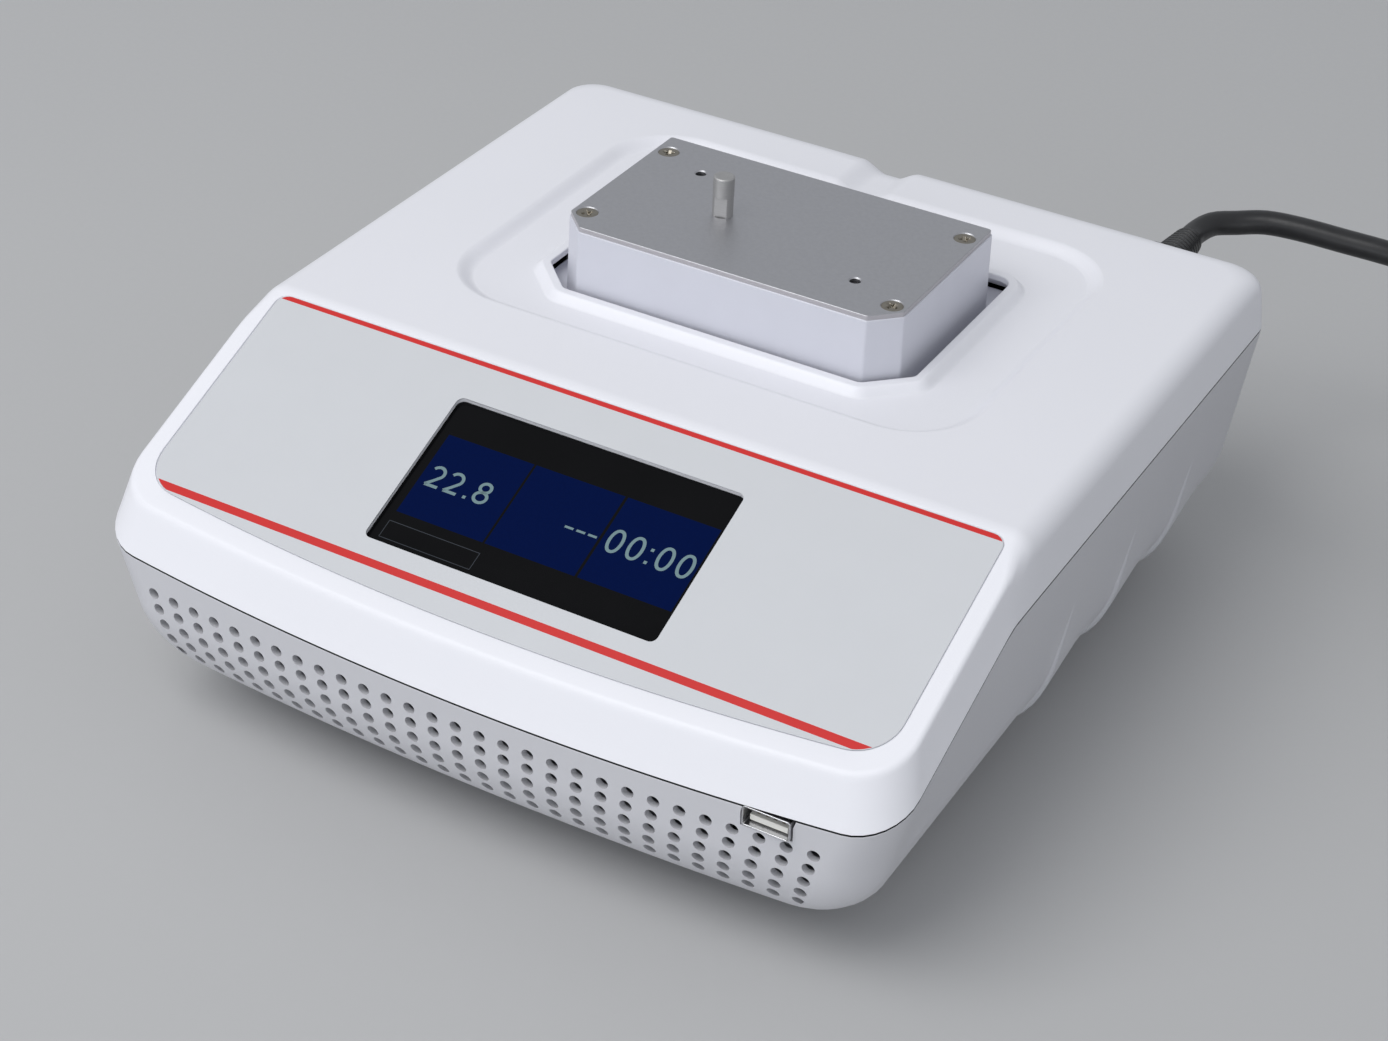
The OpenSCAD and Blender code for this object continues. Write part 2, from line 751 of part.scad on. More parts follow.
mat_t = 1.5;
mat_w = plate_w - 22;
mat_d = plate_d - 20;
foam_d = plate_d - 16;
sensor_r = 2;
sensor_len = 22;
module heater_mat() {
    color([0.85, 0.45, 0.2]) at_block() difference() {
        translate([-mat_w / 2, -mat_d / 2, plate_z - plate_t - mat_t]) cube([mat_w, mat_d, mat_t]);
        at_threads() translate([0, 0, plate_z - 15]) cylinder(r = thread_boss_r + 0.5, h = 20);
        translate([pin_x, pin_y, plate_z - 15]) cylinder(r = pin_seat_r + 0.5, h = 20);
    }
}

module insulation_block() {
    z0 = carrier_top;
    z1 = plate_z - plate_t - mat_t;
    color([0.9, 0.88, 0.8]) at_block() difference() {
        translate([-mat_w / 2, -foam_d / 2, z0]) cube([mat_w, foam_d, z1 - z0]);
        at_threads() translate([0, 0, plate_z - 15]) cylinder(r = thread_boss_r + 0.5, h = 20);
        translate([pin_x, pin_y, plate_z - 15]) cylinder(r = pin_seat_r + 0.5, h = 20);
        translate([10, -sensor_r - 1, z1 - 2 * sensor_r]) cube([40, 2 * sensor_r + 2, 5]);
    }
}

module temperature_sensor() {
    color([0.75, 0.75, 0.78]) at_block() translate([12, 0, plate_z - plate_t - mat_t - sensor_r])
        rotate([0, 90, 0]) cylinder(r = sensor_r, h = sensor_len);
}

bearing_h = 7;
platform_bearing_r = 11;
hub_h = 8;
hub_z = carrier_top - carrier_t - hub_h;
hub_r = 16;
bush_r = 6;
bush_boss_r = 8;
carrier_screw_r = 1.9;

module carrier_plate() {
    color([0.7, 0.71, 0.73]) at_block() difference() {
        union() {
            slab(block(0.5), carrier_top - carrier_t, carrier_t);
            translate([0, 0, hub_z]) cylinder(r = hub_r, h = hub_h + 1);
            four(idler_dx, idler_dy) translate([0, 0, hub_z]) cylinder(r = bush_boss_r, h = hub_h + 1);
        }
        translate([0, 0, hub_z - 1]) cylinder(r = platform_bearing_r, h = bearing_h + 1.5);
        translate([0, 0, hub_z - 1]) cylinder(r = 8, h = 30);
        four(idler_dx, idler_dy) translate([0, 0, hub_z - 1]) cylinder(r = bush_r, h = hub_h + 1);
        four(screw_dx, screw_dy) translate([0, 0, hub_z]) cylinder(r = carrier_screw_r + 0.2, h = 20);
    }
}

module carrier_screws() {
    color([0.55, 0.55, 0.57]) at_block() four(screw_dx, screw_dy)
        translate([0, 0, carrier_top - carrier_t]) screw(carrier_screw_r, carrier_t + 7, 3.2, 2.2);
}

module platform_bearing() {
    color([0.75, 0.76, 0.78]) at_block() translate([0, 0, hub_z + 0.5])
        ring(platform_bearing_r, crank_pin_r + run_gap, bearing_h);
}

module idler_bushes() {
    color([0.9, 0.88, 0.8]) at_block() four(idler_dx, idler_dy)
        translate([0, 0, hub_z]) ring(bush_r, idler_pin_r + run_gap, hub_h);
}

// ---------- drive ----------

weight_t = 5;
weight_z = hub_z - 1 - weight_t;
weight_r = 26;
bridge_t = 4;
bridge_top = weight_z - 5;
main_bearing_r = 13;
main_bearing_h = 8;
rotor_r = 26;
rotor_z = bridge_top - 40;
rotor_wall = 2;
rotor_floor = 2.5;
rotor_h = 18.5;
stator_r = 22;
stator_z = rotor_z + 4;
stator_h = 13;
stator_hub_r = 13;
stator_bore_r = 9.5;
stator_poles = 12;
block_r = 17;
block_drop = 14;         // bearing block below the bridge
block_flange_r = 24;
block_flange_t = 3;
flange_screw_at = 20.5;
stator_neck = bridge_top - bridge_t - block_drop - stator_z - stator_h;

module eccentric_shaft() {
    color([0.62, 0.63, 0.65]) at_drive() {
        translate([0, 0, rotor_z - 2]) cylinder(r = shaft_r, h = weight_z - rotor_z + 2);
        translate([0, 0, weight_z]) cylinder(r = shaft_r + 4, h = weight_t);
        translate([block_x, 0, weight_z + weight_t - eps])
            cylinder(r = crank_pin_r, h = hub_z + bearing_h - weight_z - weight_t + 0.5);
    }
}

module counterweight() {
    color([0.72, 0.6, 0.3]) at_drive() translate([0, 0, weight_z]) difference() {
        cylinder(r = weight_r, h = weight_t);
        translate([4, -50, -1]) cube([60, 100, weight_t + 2]);
        translate([0, 0, -1]) cylinder(r = shaft_r + 4, h = weight_t + 2);
    }
}

module motor_rotor() {
    color([0.35, 0.36, 0.38]) at_drive() translate([0, 0, rotor_z]) {
        ring(rotor_r, shaft_r, rotor_floor);
        translate([0, 0, rotor_floor - eps]) ring(rotor_r, rotor_r - rotor_wall, rotor_h - rotor_floor);
        ring(shaft_r + 3, shaft_r, rotor_floor + 1);
    }
}

module motor_stator() {
    color([0.7, 0.4, 0.2]) at_drive() translate([0, 0, stator_z]) {
        ring(stator_hub_r, stator_bore_r, stator_h);
        for (i = [1:stator_poles]) rotate(360 / stator_poles * i) {
            translate([stator_hub_r - 1, -1.5, 1]) cube([stator_r - stator_hub_r - 0.5, 3, stator_h - 2]);
            translate([stator_hub_r + 0.5, -2.6, 2.5]) cube([5, 5.2, stator_h - 5]);
        }
        intersection() {
            ring(stator_r, stator_r - 2, stator_h);
            for (i = [1:stator_poles]) rotate(360 / stator_poles * i)
                translate([stator_r - 4, -4.6, 0]) cube([6, 9.2, stator_h]);
        }
        translate([0, 0, stator_h - eps]) ring(stator_bore_r + 2, stator_bore_r, stator_neck);
        translate([0, 0, stator_h + stator_neck - 1.5]) ring(block_r, stator_bore_r, 1.5);
    }
}

module bearing_block() {
    color([0.68, 0.69, 0.7]) at_drive() difference() {
        union() {
            translate([0, 0, bridge_top - bridge_t - block_drop])
                cylinder(r = block_r, h = bridge_t + block_drop);
            translate([0, 0, bridge_top]) cylinder(r = block_flange_r, h = block_flange_t);
        }
        translate([0, 0, bridge_top - 40]) cylinder(r = shaft_r + 2, h = 60);
        translate([0, 0, bridge_top + block_flange_t - main_bearing_h])
            cylinder(r = main_bearing_r, h = 20);
        translate([0, 0, bridge_top - bridge_t - block_drop - 1])
            cylinder(r = main_bearing_r, h = main_bearing_h + 1);
        for (i = [0:2]) rotate(120 * i) translate([flange_screw_at, 0, bridge_top - 1])
            cylinder(r = 1.6, h = 8);
    }
}

module shaft_bearings() {
    color([0.78, 0.79, 0.8]) at_drive() {
        translate([0, 0, bridge_top + block_flange_t - main_bearing_h])
            ring(main_bearing_r, shaft_r + run_gap, main_bearing_h);
        translate([0, 0, bridge_top - bridge_t - block_drop])
            ring(main_bearing_r, shaft_r + run_gap, main_bearing_h);
    }
}

bridge_w = 134;
bridge_d = 92;
bridge_post_dx = 118;
bridge_post_dy = 76;
idler_bearing_r = 7.5;
idler_bearing_h = 5;
module drive_bridge() {
    z0 = bridge_top - bridge_t;
    color([0.62, 0.64, 0.66]) at_drive() difference() {
        union() {
            slab(round_rect(-bridge_w / 2, bridge_w / 2, -bridge_d / 2, bridge_d / 2, 6, 4),
                z0, bridge_t);
            four(idler_dx, idler_dy) translate([0, 0, z0 - 3]) cylinder(r = 10.5, h = 4);
        }
        translate([0, 0, z0 - 1]) cylinder(r = block_r + 0.2, h = bridge_t + 2);
        four(idler_dx, idler_dy) {
            translate([0, 0, bridge_top - idler_bearing_h]) cylinder(r = idler_bearing_r, h = 10);
            translate([0, 0, z0 - 4]) cylinder(r = 5, h = 10);
        }
        four(bridge_post_dx, bridge_post_dy) translate([0, 0, z0 - 1]) cylinder(r = 2.2, h = 10);
        for (i = [0:2]) rotate(120 * i) translate([flange_screw_at, 0, z0 - 1])
            cylinder(r = 1.3, h = 10);
    }
}

module bridge_posts() {
    color([0.7, 0.7, 0.72]) at_drive() four(bridge_post_dx, bridge_post_dy)
        translate([0, 0, base_z + base_t]) difference() {
            cylinder(r = 5, h = bridge_top - bridge_t - base_z - base_t);
            translate([0, 0, bridge_top - bridge_t - base_z - base_t - 10]) cylinder(r = 2, h = 11);
        }
}

module bridge_screws() {
    color([0.5, 0.5, 0.52]) at_drive() {
        four(bridge_post_dx, bridge_post_dy) translate([0, 0, bridge_top])
            mirror([0, 0, 1]) screw(1.95, 12, 3.6, 2.6);
        for (i = [0:2]) rotate(120 * i) translate([flange_screw_at, 0, bridge_top + block_flange_t])
            mirror([0, 0, 1]) screw(1.25, 6.5, 2.4, 1.6);
    }
}

module idler_bearings() {
    color([0.78, 0.79, 0.8]) at_drive() four(idler_dx, idler_dy)
        translate([0, 0, bridge_top - idler_bearing_h])
            ring(idler_bearing_r, idler_pin_r + run_gap, idler_bearing_h);
}

// One idler crank: lower pin in the bridge, upper pin in the carrier's bush.
module idler_crank(sx, sy) {
    color([0.62, 0.63, 0.65]) at_drive()
        translate([sx * idler_dx / 2, sy * idler_dy / 2, 0]) {
            translate([0, 0, bridge_top - idler_bearing_h])
                cylinder(r = idler_pin_r, h = idler_bearing_h + 1);
            translate([0, 0, bridge_top + 0.5]) cylinder(r = idler_pin_r + 3, h = 4);
            translate([block_x, 0, bridge_top + 4])
                cylinder(r = idler_pin_r, h = hub_z + hub_h - bridge_top - 5);
        }
}
module idler_crank_1() { idler_crank(-1, -1); }
module idler_crank_2() { idler_crank(1, -1); }
module idler_crank_3() { idler_crank(1, 1); }
module idler_crank_4() { idler_crank(-1, 1); }

// ---------- base and electronics ----------

module base_plate() {
    color([0.72, 0.73, 0.74]) difference() {
        slab(round_rect(-base_x, base_x, base_y0, base_y1, 8, 4), base_z, base_t);
        at_base_screws() translate([0, 0, base_z - 1]) cylinder(r = 1.7, h = 5);
        at_posts() cylinder(r = post_r + 1, h = top_z);
    }
}

ctrl_w = 128;
ctrl_d = 58;
ctrl_x = -8;
ctrl_y = base_y0 + 22;
standoff_h = 8;
ctrl_z = base_z + base_t + standoff_h;
module control_board() {
    color([0.1, 0.38, 0.22]) translate([ctrl_x, ctrl_y, ctrl_z]) difference() {
        union() {
            translate([-ctrl_w / 2, -ctrl_d / 2, 0]) cube([ctrl_w, ctrl_d, board_t]);
            translate([0, 0, board_t]) {
                translate([-20, -8, 0]) cube([16, 16, 2]);
                translate([20, -20, 0]) cube([24, 10, 9]);
                translate([-56, -22, 0]) cube([10, 34, 8]);
                for (i = [0:3]) translate([10 + i * 12, 12, 0]) cylinder(r = 4, h = 12);
            }
        }
        four(ctrl_w - 8, ctrl_d - 8) translate([0, 0, -1]) cylinder(r = 1.6, h = 4);
    }
}

module board_standoffs() {
    color([0.75, 0.65, 0.35]) translate([ctrl_x, ctrl_y, base_z + base_t])
        four(ctrl_w - 8, ctrl_d - 8) {
            cylinder(r = 3, h = standoff_h);
            cylinder(r = 1.5, h = standoff_h + 2 * board_t);
        }
}

psu_w = 26;
psu_d = 104;
psu_h = 30;
module power_supply() {
    color([0.75, 0.76, 0.77]) translate([-base_x + 2, drive_y - 62, base_z + base_t]) {
        cube([psu_w, psu_d, 1.2]);
        cube([1.2, psu_d, psu_h * 0.6]);
        for (y = [6, psu_d - 10]) translate([psu_w / 2 - 2, y, 1]) cube([4, 4, 4]);
        translate([2, 2, 5 - eps]) cube([psu_w - 2, psu_d - 4, board_t]);
        translate([4, 38, 6]) cube([psu_w - 6, 26, psu_h - 6]);
        translate([4, 8, 6]) cube([14, 18, 12]);
        for (y = [74, 90]) translate([psu_w / 2 + 1, y, 6]) cylinder(r = 6.5, h = psu_h - 10);
    }
}

module usb_port() {
    color([0.78, 0.78, 0.8]) translate([usb_x - usb_w / 2, usb_y, usb_z]) {
        difference() {
            cube([usb_w, 16, usb_h]);
            translate([0.5, -1, 0.5]) cube([usb_w - 1, 15, usb_h - 1]);
        }
        translate([1.6, 2, 1.1]) cube([usb_w - 3.2, 12.5, 1.8]);
    }
}

module usb_board() {
    color([0.1, 0.35, 0.2]) translate([usb_x - 12, usb_y + 8.5, usb_z - board_t])
        cube([20, 18, board_t]);
}

// ---------- rear ----------

fan_z = (panel_z0 + panel_z1) / 2;
fan_t = 15;
fan_y = panel_y - fan_t;
fan_bore_r = fan_size / 2 - 1.5;
fan_hole = fan_size - 10;
inlet_flange_t = 2.4;
switch_x = inlet_x - 45;
switch_z = 76;
serial_x = 0;

module along_y() {
    rotate([-90, 0, 0]) children();
}

module rear_panel() {
    color([0.8, 0.81, 0.82]) difference() {
        translate([panel_x0, panel_y, panel_z0])
            cube([panel_x1 - panel_x0, panel_t, panel_z1 - panel_z0]);
        translate([-fan_x, panel_y - 1, fan_z]) along_y() {
            difference() {
                for (i = [0:4]) difference() {
                    cylinder(r = 7.5 + 4.2 * i, h = 4);
                    translate([0, 0, -1]) cylinder(r = 4.7 + 4.2 * i, h = 6);
                }
                for (a = [45, 135]) rotate(a) translate([-40, -1.5, -1]) cube([80, 3, 8]);
            }
            four(fan_hole, fan_hole) cylinder(r = 1.7, h = 4);
        }
        translate([inlet_x - inlet_w / 2 - 0.4, panel_y - 1, inlet_z - inlet_low - 0.4])
            cube([inlet_w + 0.8, 5, inlet_h + 0.8]);
        translate([switch_x - 6.7, panel_y - 1, switch_z - 9.7]) cube([13.4, 5, 19.4]);
        translate([serial_x - 9.5, panel_y - 1, switch_z - 5.5]) cube([19, 5, 11]);
    }
}

module fan_frame() {
    color([0.12, 0.12, 0.13]) translate([-fan_x, fan_y, fan_z]) along_y() difference() {
        union() {
            difference() {
                translate([-fan_size / 2, -fan_size / 2, 0]) cube([fan_size, fan_size, fan_t]);
                translate([0, 0, -1]) cylinder(r = fan_bore_r, h = fan_t + 2);
            }
            cylinder(r = 9, h = 2);
            for (a = [0:3]) rotate(90 * a + 20) translate([7, -1.2, 0]) cube([fan_bore_r - 6, 2.4, 2]);
            cylinder(r = 1.4, h = 9);
        }
        four(fan_hole, fan_hole) translate([0, 0, -1]) cylinder(r = 1.7, h = fan_t + 2);
    }
}

module fan_impeller() {
    color([0.16, 0.16, 0.17]) translate([-fan_x, fan_y + 2.5, fan_z]) along_y() difference() {
        union() {
            cylinder(r = 9.5, h = fan_t - 3.5);
            for (i = [0:6]) rotate(360 / 7 * i) translate([9, 0, (fan_t - 3.5) / 2])
                rotate([35, 0, 0]) translate([-1, -0.6, -5.5]) cube([fan_bore_r - 8.8, 1.2, 11]);
        }
        translate([0, 0, -1]) cylinder(r = 8.3, h = 3);
        translate([0, 0, -1]) cylinder(r = 1.4 + run_gap, h = 9);
    }
}

inlet_w = 27;
inlet_h = 36.5;
inlet_low = 26;          // from the inlet's axis down to the underside of its body
drawer_w = 20;
drawer_h = 11;
drawer_d = 23.2;
drawer_drop = 23.5;      // from the inlet's axis down to the drawer's floor
fuse_r = 2.6;
fuse_len = 20;
fuse_x = 4.4;
fuse_z = 6.6;
plug_face_w = 23.8;
plug_face_h = 15.6;
plug_face_d = 17;
module power_inlet() {
    color([0.07, 0.07, 0.08]) translate([inlet_x, 0, inlet_z]) difference() {
        union() {
            translate([-20, back_y - wall, -28]) cube([40, inlet_flange_t, 41]);
            translate([-inlet_w / 2, back_y - wall - 26, -inlet_low]) cube([inlet_w, 26.5, inlet_h]);
        }
        translate([-plug_face_w / 2 - fit, back_y - wall - plug_face_d, -plug_face_h / 2 - fit])
            cube([plug_face_w + 2 * fit, plug_face_d + 8, plug_face_h + 2 * fit]);
        translate([-drawer_w / 2 - 0.2, back_y - wall - drawer_d - 1.5, -drawer_drop - 0.2])
            cube([drawer_w + 0.4, drawer_d + 10, drawer_h + 0.4]);
    }
}

module fuse_drawer() {
    color([0.1, 0.1, 0.11]) translate([inlet_x, back_y - wall, inlet_z - drawer_drop]) difference() {
        translate([-drawer_w / 2, -drawer_d, 0]) cube([drawer_w, drawer_d + inlet_flange_t, drawer_h]);
        for (s = [-1, 1]) translate([s * fuse_x - fuse_r - 0.2, -drawer_d + 1.3, fuse_z - fuse_r - 0.2])
            cube([2 * fuse_r + 0.4, fuse_len + 0.6, drawer_h]);
        translate([-5, inlet_flange_t - 1, 3]) cube([10, 2, 1.5]);
    }
}

module fuses() {
    color([0.85, 0.86, 0.86]) translate([inlet_x, back_y - wall - drawer_d + 1.6, inlet_z - drawer_drop])
        for (s = [-1, 1]) translate([s * fuse_x, 0, fuse_z]) along_y() {
            cylinder(r = fuse_r - 0.15, h = fuse_len);
            for (y = [0, fuse_len - 5]) translate([0, 0, y]) cylinder(r = fuse_r, h = 5);
        }
}

rocker_tilt = 8;
module switch_body() {
    color([0.06, 0.06, 0.07]) translate([switch_x, back_y - wall, switch_z]) difference() {
        union() {
            translate([-7.5, 0, -10.5]) cube([15, 2, 21]);
            translate([-6.5, -14, -9.5]) cube([13, 14.5, 19]);
        }
        translate([-5.3, -6, -8.8]) cube([10.6, 10, 17.6]);
        translate([-7, -2, 0]) rotate([0, 90, 0]) cylinder(r = 1.05, h = 14);
    }
}

module power_rocker() {
    color([0.1, 0.1, 0.1]) translate([switch_x, back_y - wall - 2, switch_z])
        rotate([rocker_tilt, 0, 0]) {
            translate([-6.2, 0, 0]) rotate([0, 90, 0]) cylinder(r = 1, h = 12.4);
            rotate([90, 0, 90]) linear_extrude(10, center = true)
                polygon([[-1.6, -7], [1.4, -7.6], [3.4, -7.9], [1.8, 0], [3.4, 7.9], [1.4, 7.6],
                    [-1.6, 7]]);
        }
}

module serial_port() {
    color([0.6, 0.61, 0.63]) translate([serial_x, back_y - wall, switch_z]) difference() {
        union() {
            translate([-15.4, 0, -6.2]) cube([30.8, 0.8, 12.4]);
            translate([-9, -8, -5]) cube([18, 10.3, 10]);
        }
        translate([-8.2, 1.8, -4.2]) cube([16.4, 10, 8.4]);
    }
}

module case_screws() {
    color([0.5, 0.5, 0.52]) at_posts() translate([0, 0, $seam - post_seat])
        screw(post_screw_r, post_seat + 6, 2.9, 2.2);
}

module rubber_feet() {
    color([0.08, 0.08, 0.08]) at_feet() {
        cylinder(r = foot_r, h = floor_z + foot_seat);
    }
}

// ---------- mains cord ----------

cord_exit_y = back_y + 45.5;
connector_len = 25.6;
module cord_connector() {
    y0 = back_y - wall + inlet_flange_t;
    color([0.06, 0.06, 0.07]) translate([inlet_x, 0, inlet_z]) {
        translate([-plug_face_w / 2, y0 + 0.6 - plug_face_d - inlet_flange_t, -plug_face_h / 2])
            cube([plug_face_w, plug_face_d + inlet_flange_t, plug_face_h]);
        hull() {
            translate([-12.6, y0 + 0.2, -8.8]) cube([25.2, 14, 17.6]);
            translate([-9, y0 + connector_len - 1, -8]) cube([18, 1, 16]);
        }
    }
}

module strain_relief() {
    y0 = back_y - wall + inlet_flange_t + connector_len;
    color([0.06, 0.06, 0.07]) translate([inlet_x, y0, inlet_z]) along_y()
        cylinder(r1 = 7, r2 = cord_d / 2 + 0.6, h = cord_exit_y - y0);
}

// Centre line of the cord from the connector to the coil on the bench.
cord_route = [
    [85, 183, 80], [85, 189, 80], [88, 197, 81], [95, 203, 81], [104, 207, 82], [116, 209, 82],
    [130, 211, 81], [144, 213, 80], [158, 216, 78], [172, 219, 74], [185, 222, 67],
    [197, 224, 58], [208, 226, 47], [219, 227, 36], [231, 227, 25], [244, 226, 15],
    [258, 223, 8], [273, 218, 5], [287, 211, 4.4], [299, 201, 4.4], [308, 189, 4.4],
    [314, 176, 4.4], [316, 163, 4.4], [317, 150, 4.4]];
coil_at = [256.8, 150];
coil_r_in = 35;          // centre line of the innermost turn
coil_turns = 3;          // turns in the bottom layer
// Centre line from the coil to the plug.
lead_route = [[312.8, 150, 12.6], [313, 140, 12.7], [314, 130, 12.8], [315, 120, 12.7],
    [316, 110, 12.3], [316, 100, 12], [316, 90, 12]];

function unit(v) = v / norm(v);
function heading(p, i) = unit(p[min(i + 1, len(p) - 1)] - p[max(i - 1, 0)]);

module tube(p, d, sides) {
    n = len(p);
    rings = [for (i = [0:n - 1])
        let (t = heading(p, i), u = unit(cross([0, 0, 1], t)), v = cross(t, u))
        for (k = [0:sides - 1]) p[i] + d / 2 * (cos(360 * k / sides) * u + sin(360 * k / sides) * v)];
    walls = [for (i = [0:n - 2], k = [0:sides - 1])
        let (a = i * sides + k, b = i * sides + (k + 1) % sides) [a, a + sides, b + sides, b]];
    polyhedron(points = rings, faces = concat([[for (k = [0:sides - 1]) k]], walls,
        [[for (k = [sides - 1:-1:0]) (n - 1) * sides + k]]));
}

// The cord keeps its shape and follows the place where it leaves the inlet.
module at_cord() {
    translate([inlet_x - cord_route[0][0], cord_exit_y - cord_route[0][1], 0]) children();
}

module power_cord() {
    color([0.07, 0.07, 0.08]) at_cord() tube(cord_route, cord_d, 10);
}

module cord_coil() {
    r0 = coil_r_in - cord_d / 2;
    r1 = r0 + (coil_turns + 1) * cord_d;
    color([0.07, 0.07, 0.08]) at_cord() translate(coil_at) rotate_extrude()
        polygon([[r0, 0.1], [r1, 0.1], [r1, cord_d * 1.1], [r1 - cord_d / 2, cord_d * 2],
            [r0 + cord_d / 2, cord_d * 2], [r0, cord_d * 1.1]]);
}

module plug_lead() {
    color([0.07, 0.07, 0.08]) at_cord() tube(lead_route, cord_d, 10);
}

plug_len = 38;
plug_w = 26;
plug_h = 23;
module mains_plug() {
    color([0.06, 0.06, 0.07]) at_cord() translate(lead_route[len(lead_route) - 1]) rotate([90, 0, 0]) {
        hull() {
            cylinder(r = 6, h = 1);
            translate([-plug_w / 2, -plug_h / 2, 12]) cube([plug_w, plug_h, plug_len - 12]);
        }
        for (s = [-1, 1]) translate([s * 6.35 - 0.8, -3.2, plug_len - 1]) cube([1.6, 6.4, 18]);
        translate([0, -8, plug_len - 1]) cylinder(r = 2.4, h = 21);
    }
}

upper_housing();
lower_housing();
control_overlay();
touch_glass();
lcd_module();
display_board();
display_screws();
top_plate();
plate_screws();
locating_pin();
platform_skirt();
heater_mat();
insulation_block();
temperature_sensor();
carrier_plate();
carrier_screws();
platform_bearing();
idler_bushes();
eccentric_shaft();
counterweight();
motor_rotor();
motor_stator();
bearing_block();
shaft_bearings();
drive_bridge();
bridge_posts();
bridge_screws();
idler_bearings();
idler_crank_1();
idler_crank_2();
idler_crank_3();
idler_crank_4();
base_plate();
control_board();
board_standoffs();
power_supply();
usb_port();
usb_board();
rear_panel();
power_inlet();
fuse_drawer();
fuses();
switch_body();
power_rocker();
serial_port();
fan_frame();
fan_impeller();
case_screws();
rubber_feet();
cord_connector();
strain_relief();
power_cord();
cord_coil();
plug_lead();
mains_plug();
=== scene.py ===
"""Heated orbital block shaker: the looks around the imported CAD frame. Lengths are in mm, z is up."""
import math
from functools import partial

import bpy
import numpy as np
from mathutils import Matrix, Vector
from mathutils.geometry import delaunay_2d_cdt


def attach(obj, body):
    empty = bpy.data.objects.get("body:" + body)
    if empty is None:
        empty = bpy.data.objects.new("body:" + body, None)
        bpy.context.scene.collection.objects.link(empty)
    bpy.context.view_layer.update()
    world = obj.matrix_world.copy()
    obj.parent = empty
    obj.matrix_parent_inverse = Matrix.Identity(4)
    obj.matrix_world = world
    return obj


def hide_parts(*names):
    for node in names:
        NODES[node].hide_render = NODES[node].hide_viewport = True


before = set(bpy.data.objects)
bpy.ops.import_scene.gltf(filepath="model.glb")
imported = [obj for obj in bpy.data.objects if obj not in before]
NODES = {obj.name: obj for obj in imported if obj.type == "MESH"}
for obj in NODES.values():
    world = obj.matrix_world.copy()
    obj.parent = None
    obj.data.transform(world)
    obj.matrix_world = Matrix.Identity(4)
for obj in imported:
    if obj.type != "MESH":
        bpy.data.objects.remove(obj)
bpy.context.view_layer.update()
MM = 0.001
UP, DOWN, FRONT, REAR = (0, 0, 1.0), (0, 0, -1.0), (0, -1.0, 0), (0, 1.0, 0)
MIRROR = (-1, 1, 1)
sin, cos, tan, rad = math.sin, math.cos, math.tan, math.radians
TURN = [(cos(rad(a)), sin(rad(a))) for a in (0, 30, 60, 90)]


def add_object(name, data):
    obj = bpy.data.objects.new(name, data)
    bpy.context.scene.collection.objects.link(obj)
    return obj


def make_camera():
    """The photograph's camera: its place and lens are fitted to the housing's edges."""
    az, el, roll = rad(28.181), rad(33.821), rad(2.744)
    back = Vector((sin(az) * cos(el), -cos(az) * cos(el), sin(el)))
    right = (-back).cross(Vector(UP)).normalized()
    up = right.cross(-back)
    x = right * cos(roll) + up * sin(roll)
    y = up * cos(roll) - right * sin(roll)
    m = Matrix((x, y, back)).transposed().to_4x4()
    m.translation = Vector((338.24, -635.44, 519.35)) * MM
    data = bpy.data.cameras.new("camera")
    data.lens, data.sensor_width = 71.94, 36
    data.clip_start, data.clip_end = 0.05, 30
    cam = add_object("camera", data)
    cam.matrix_world = m
    bpy.context.scene.camera = cam


make_camera()

# ---------- materials ----------


def node(tree, kind, **values):
    """A new node with its sockets set. An underscore in a key stands for a space."""
    new = tree.nodes.new("ShaderNode" + kind)
    for key, value in values.items():
        new.inputs[key.replace("_", " ")].default_value = value
    return new


def material(name, color, rough, metal, spread, scale, bump, bump_scale=400, rough_spread=0.06,
             ior=None, stretch=(1, 1, 1), coat=0.0):
    """A procedural finish: cloudy colour and gloss, and a fine grain from bump."""
    m = bpy.data.materials.new(name)
    m.use_nodes = True
    tree = m.node_tree
    shader = tree.nodes["Principled BSDF"].inputs
    shader["Metallic"].default_value = metal
    shader["Coat Weight"].default_value = coat
    shader["Coat Roughness"].default_value = 0.12
    if ior:
        shader["IOR"].default_value = ior
    place = node(tree, "Mapping", Scale=stretch)
    cloud = node(tree, "TexNoise", Scale=scale, Detail=4)
    grain = node(tree, "TexNoise", Scale=bump_scale, Detail=3)
    ramp = node(tree, "ValToRGB")
    c = np.array(color)
    for stop, at, tone in zip(ramp.color_ramp.elements, (0.3, 0.7), (1 - spread, 1 + spread)):
        stop.position = at
        stop.color = (*np.minimum(c * tone, 1), 1)
    gloss = node(tree, "MapRange", From_Min=0.25, From_Max=0.75, To_Min=max(rough - rough_spread, 0.02),
                 To_Max=min(rough + rough_spread, 1))
    wire = tree.links.new
    wire(node(tree, "TexCoord").outputs["Object"], place.inputs["Vector"])
    wire(place.outputs["Vector"], cloud.inputs["Vector"])
    wire(place.outputs["Vector"], grain.inputs["Vector"])
    wire(cloud.outputs["Fac"], ramp.inputs["Fac"])
    wire(ramp.outputs["Color"], shader["Base Color"])
    wire(grain.outputs["Fac"], gloss.inputs["Value"])
    wire(gloss.outputs["Result"], shader["Roughness"])
    if bump:
        relief = node(tree, "Bump", Strength=bump, Distance=0.0002)
        wire(grain.outputs["Fac"], relief.inputs["Height"])
        wire(relief.outputs["Normal"], shader["Normal"])
    return m


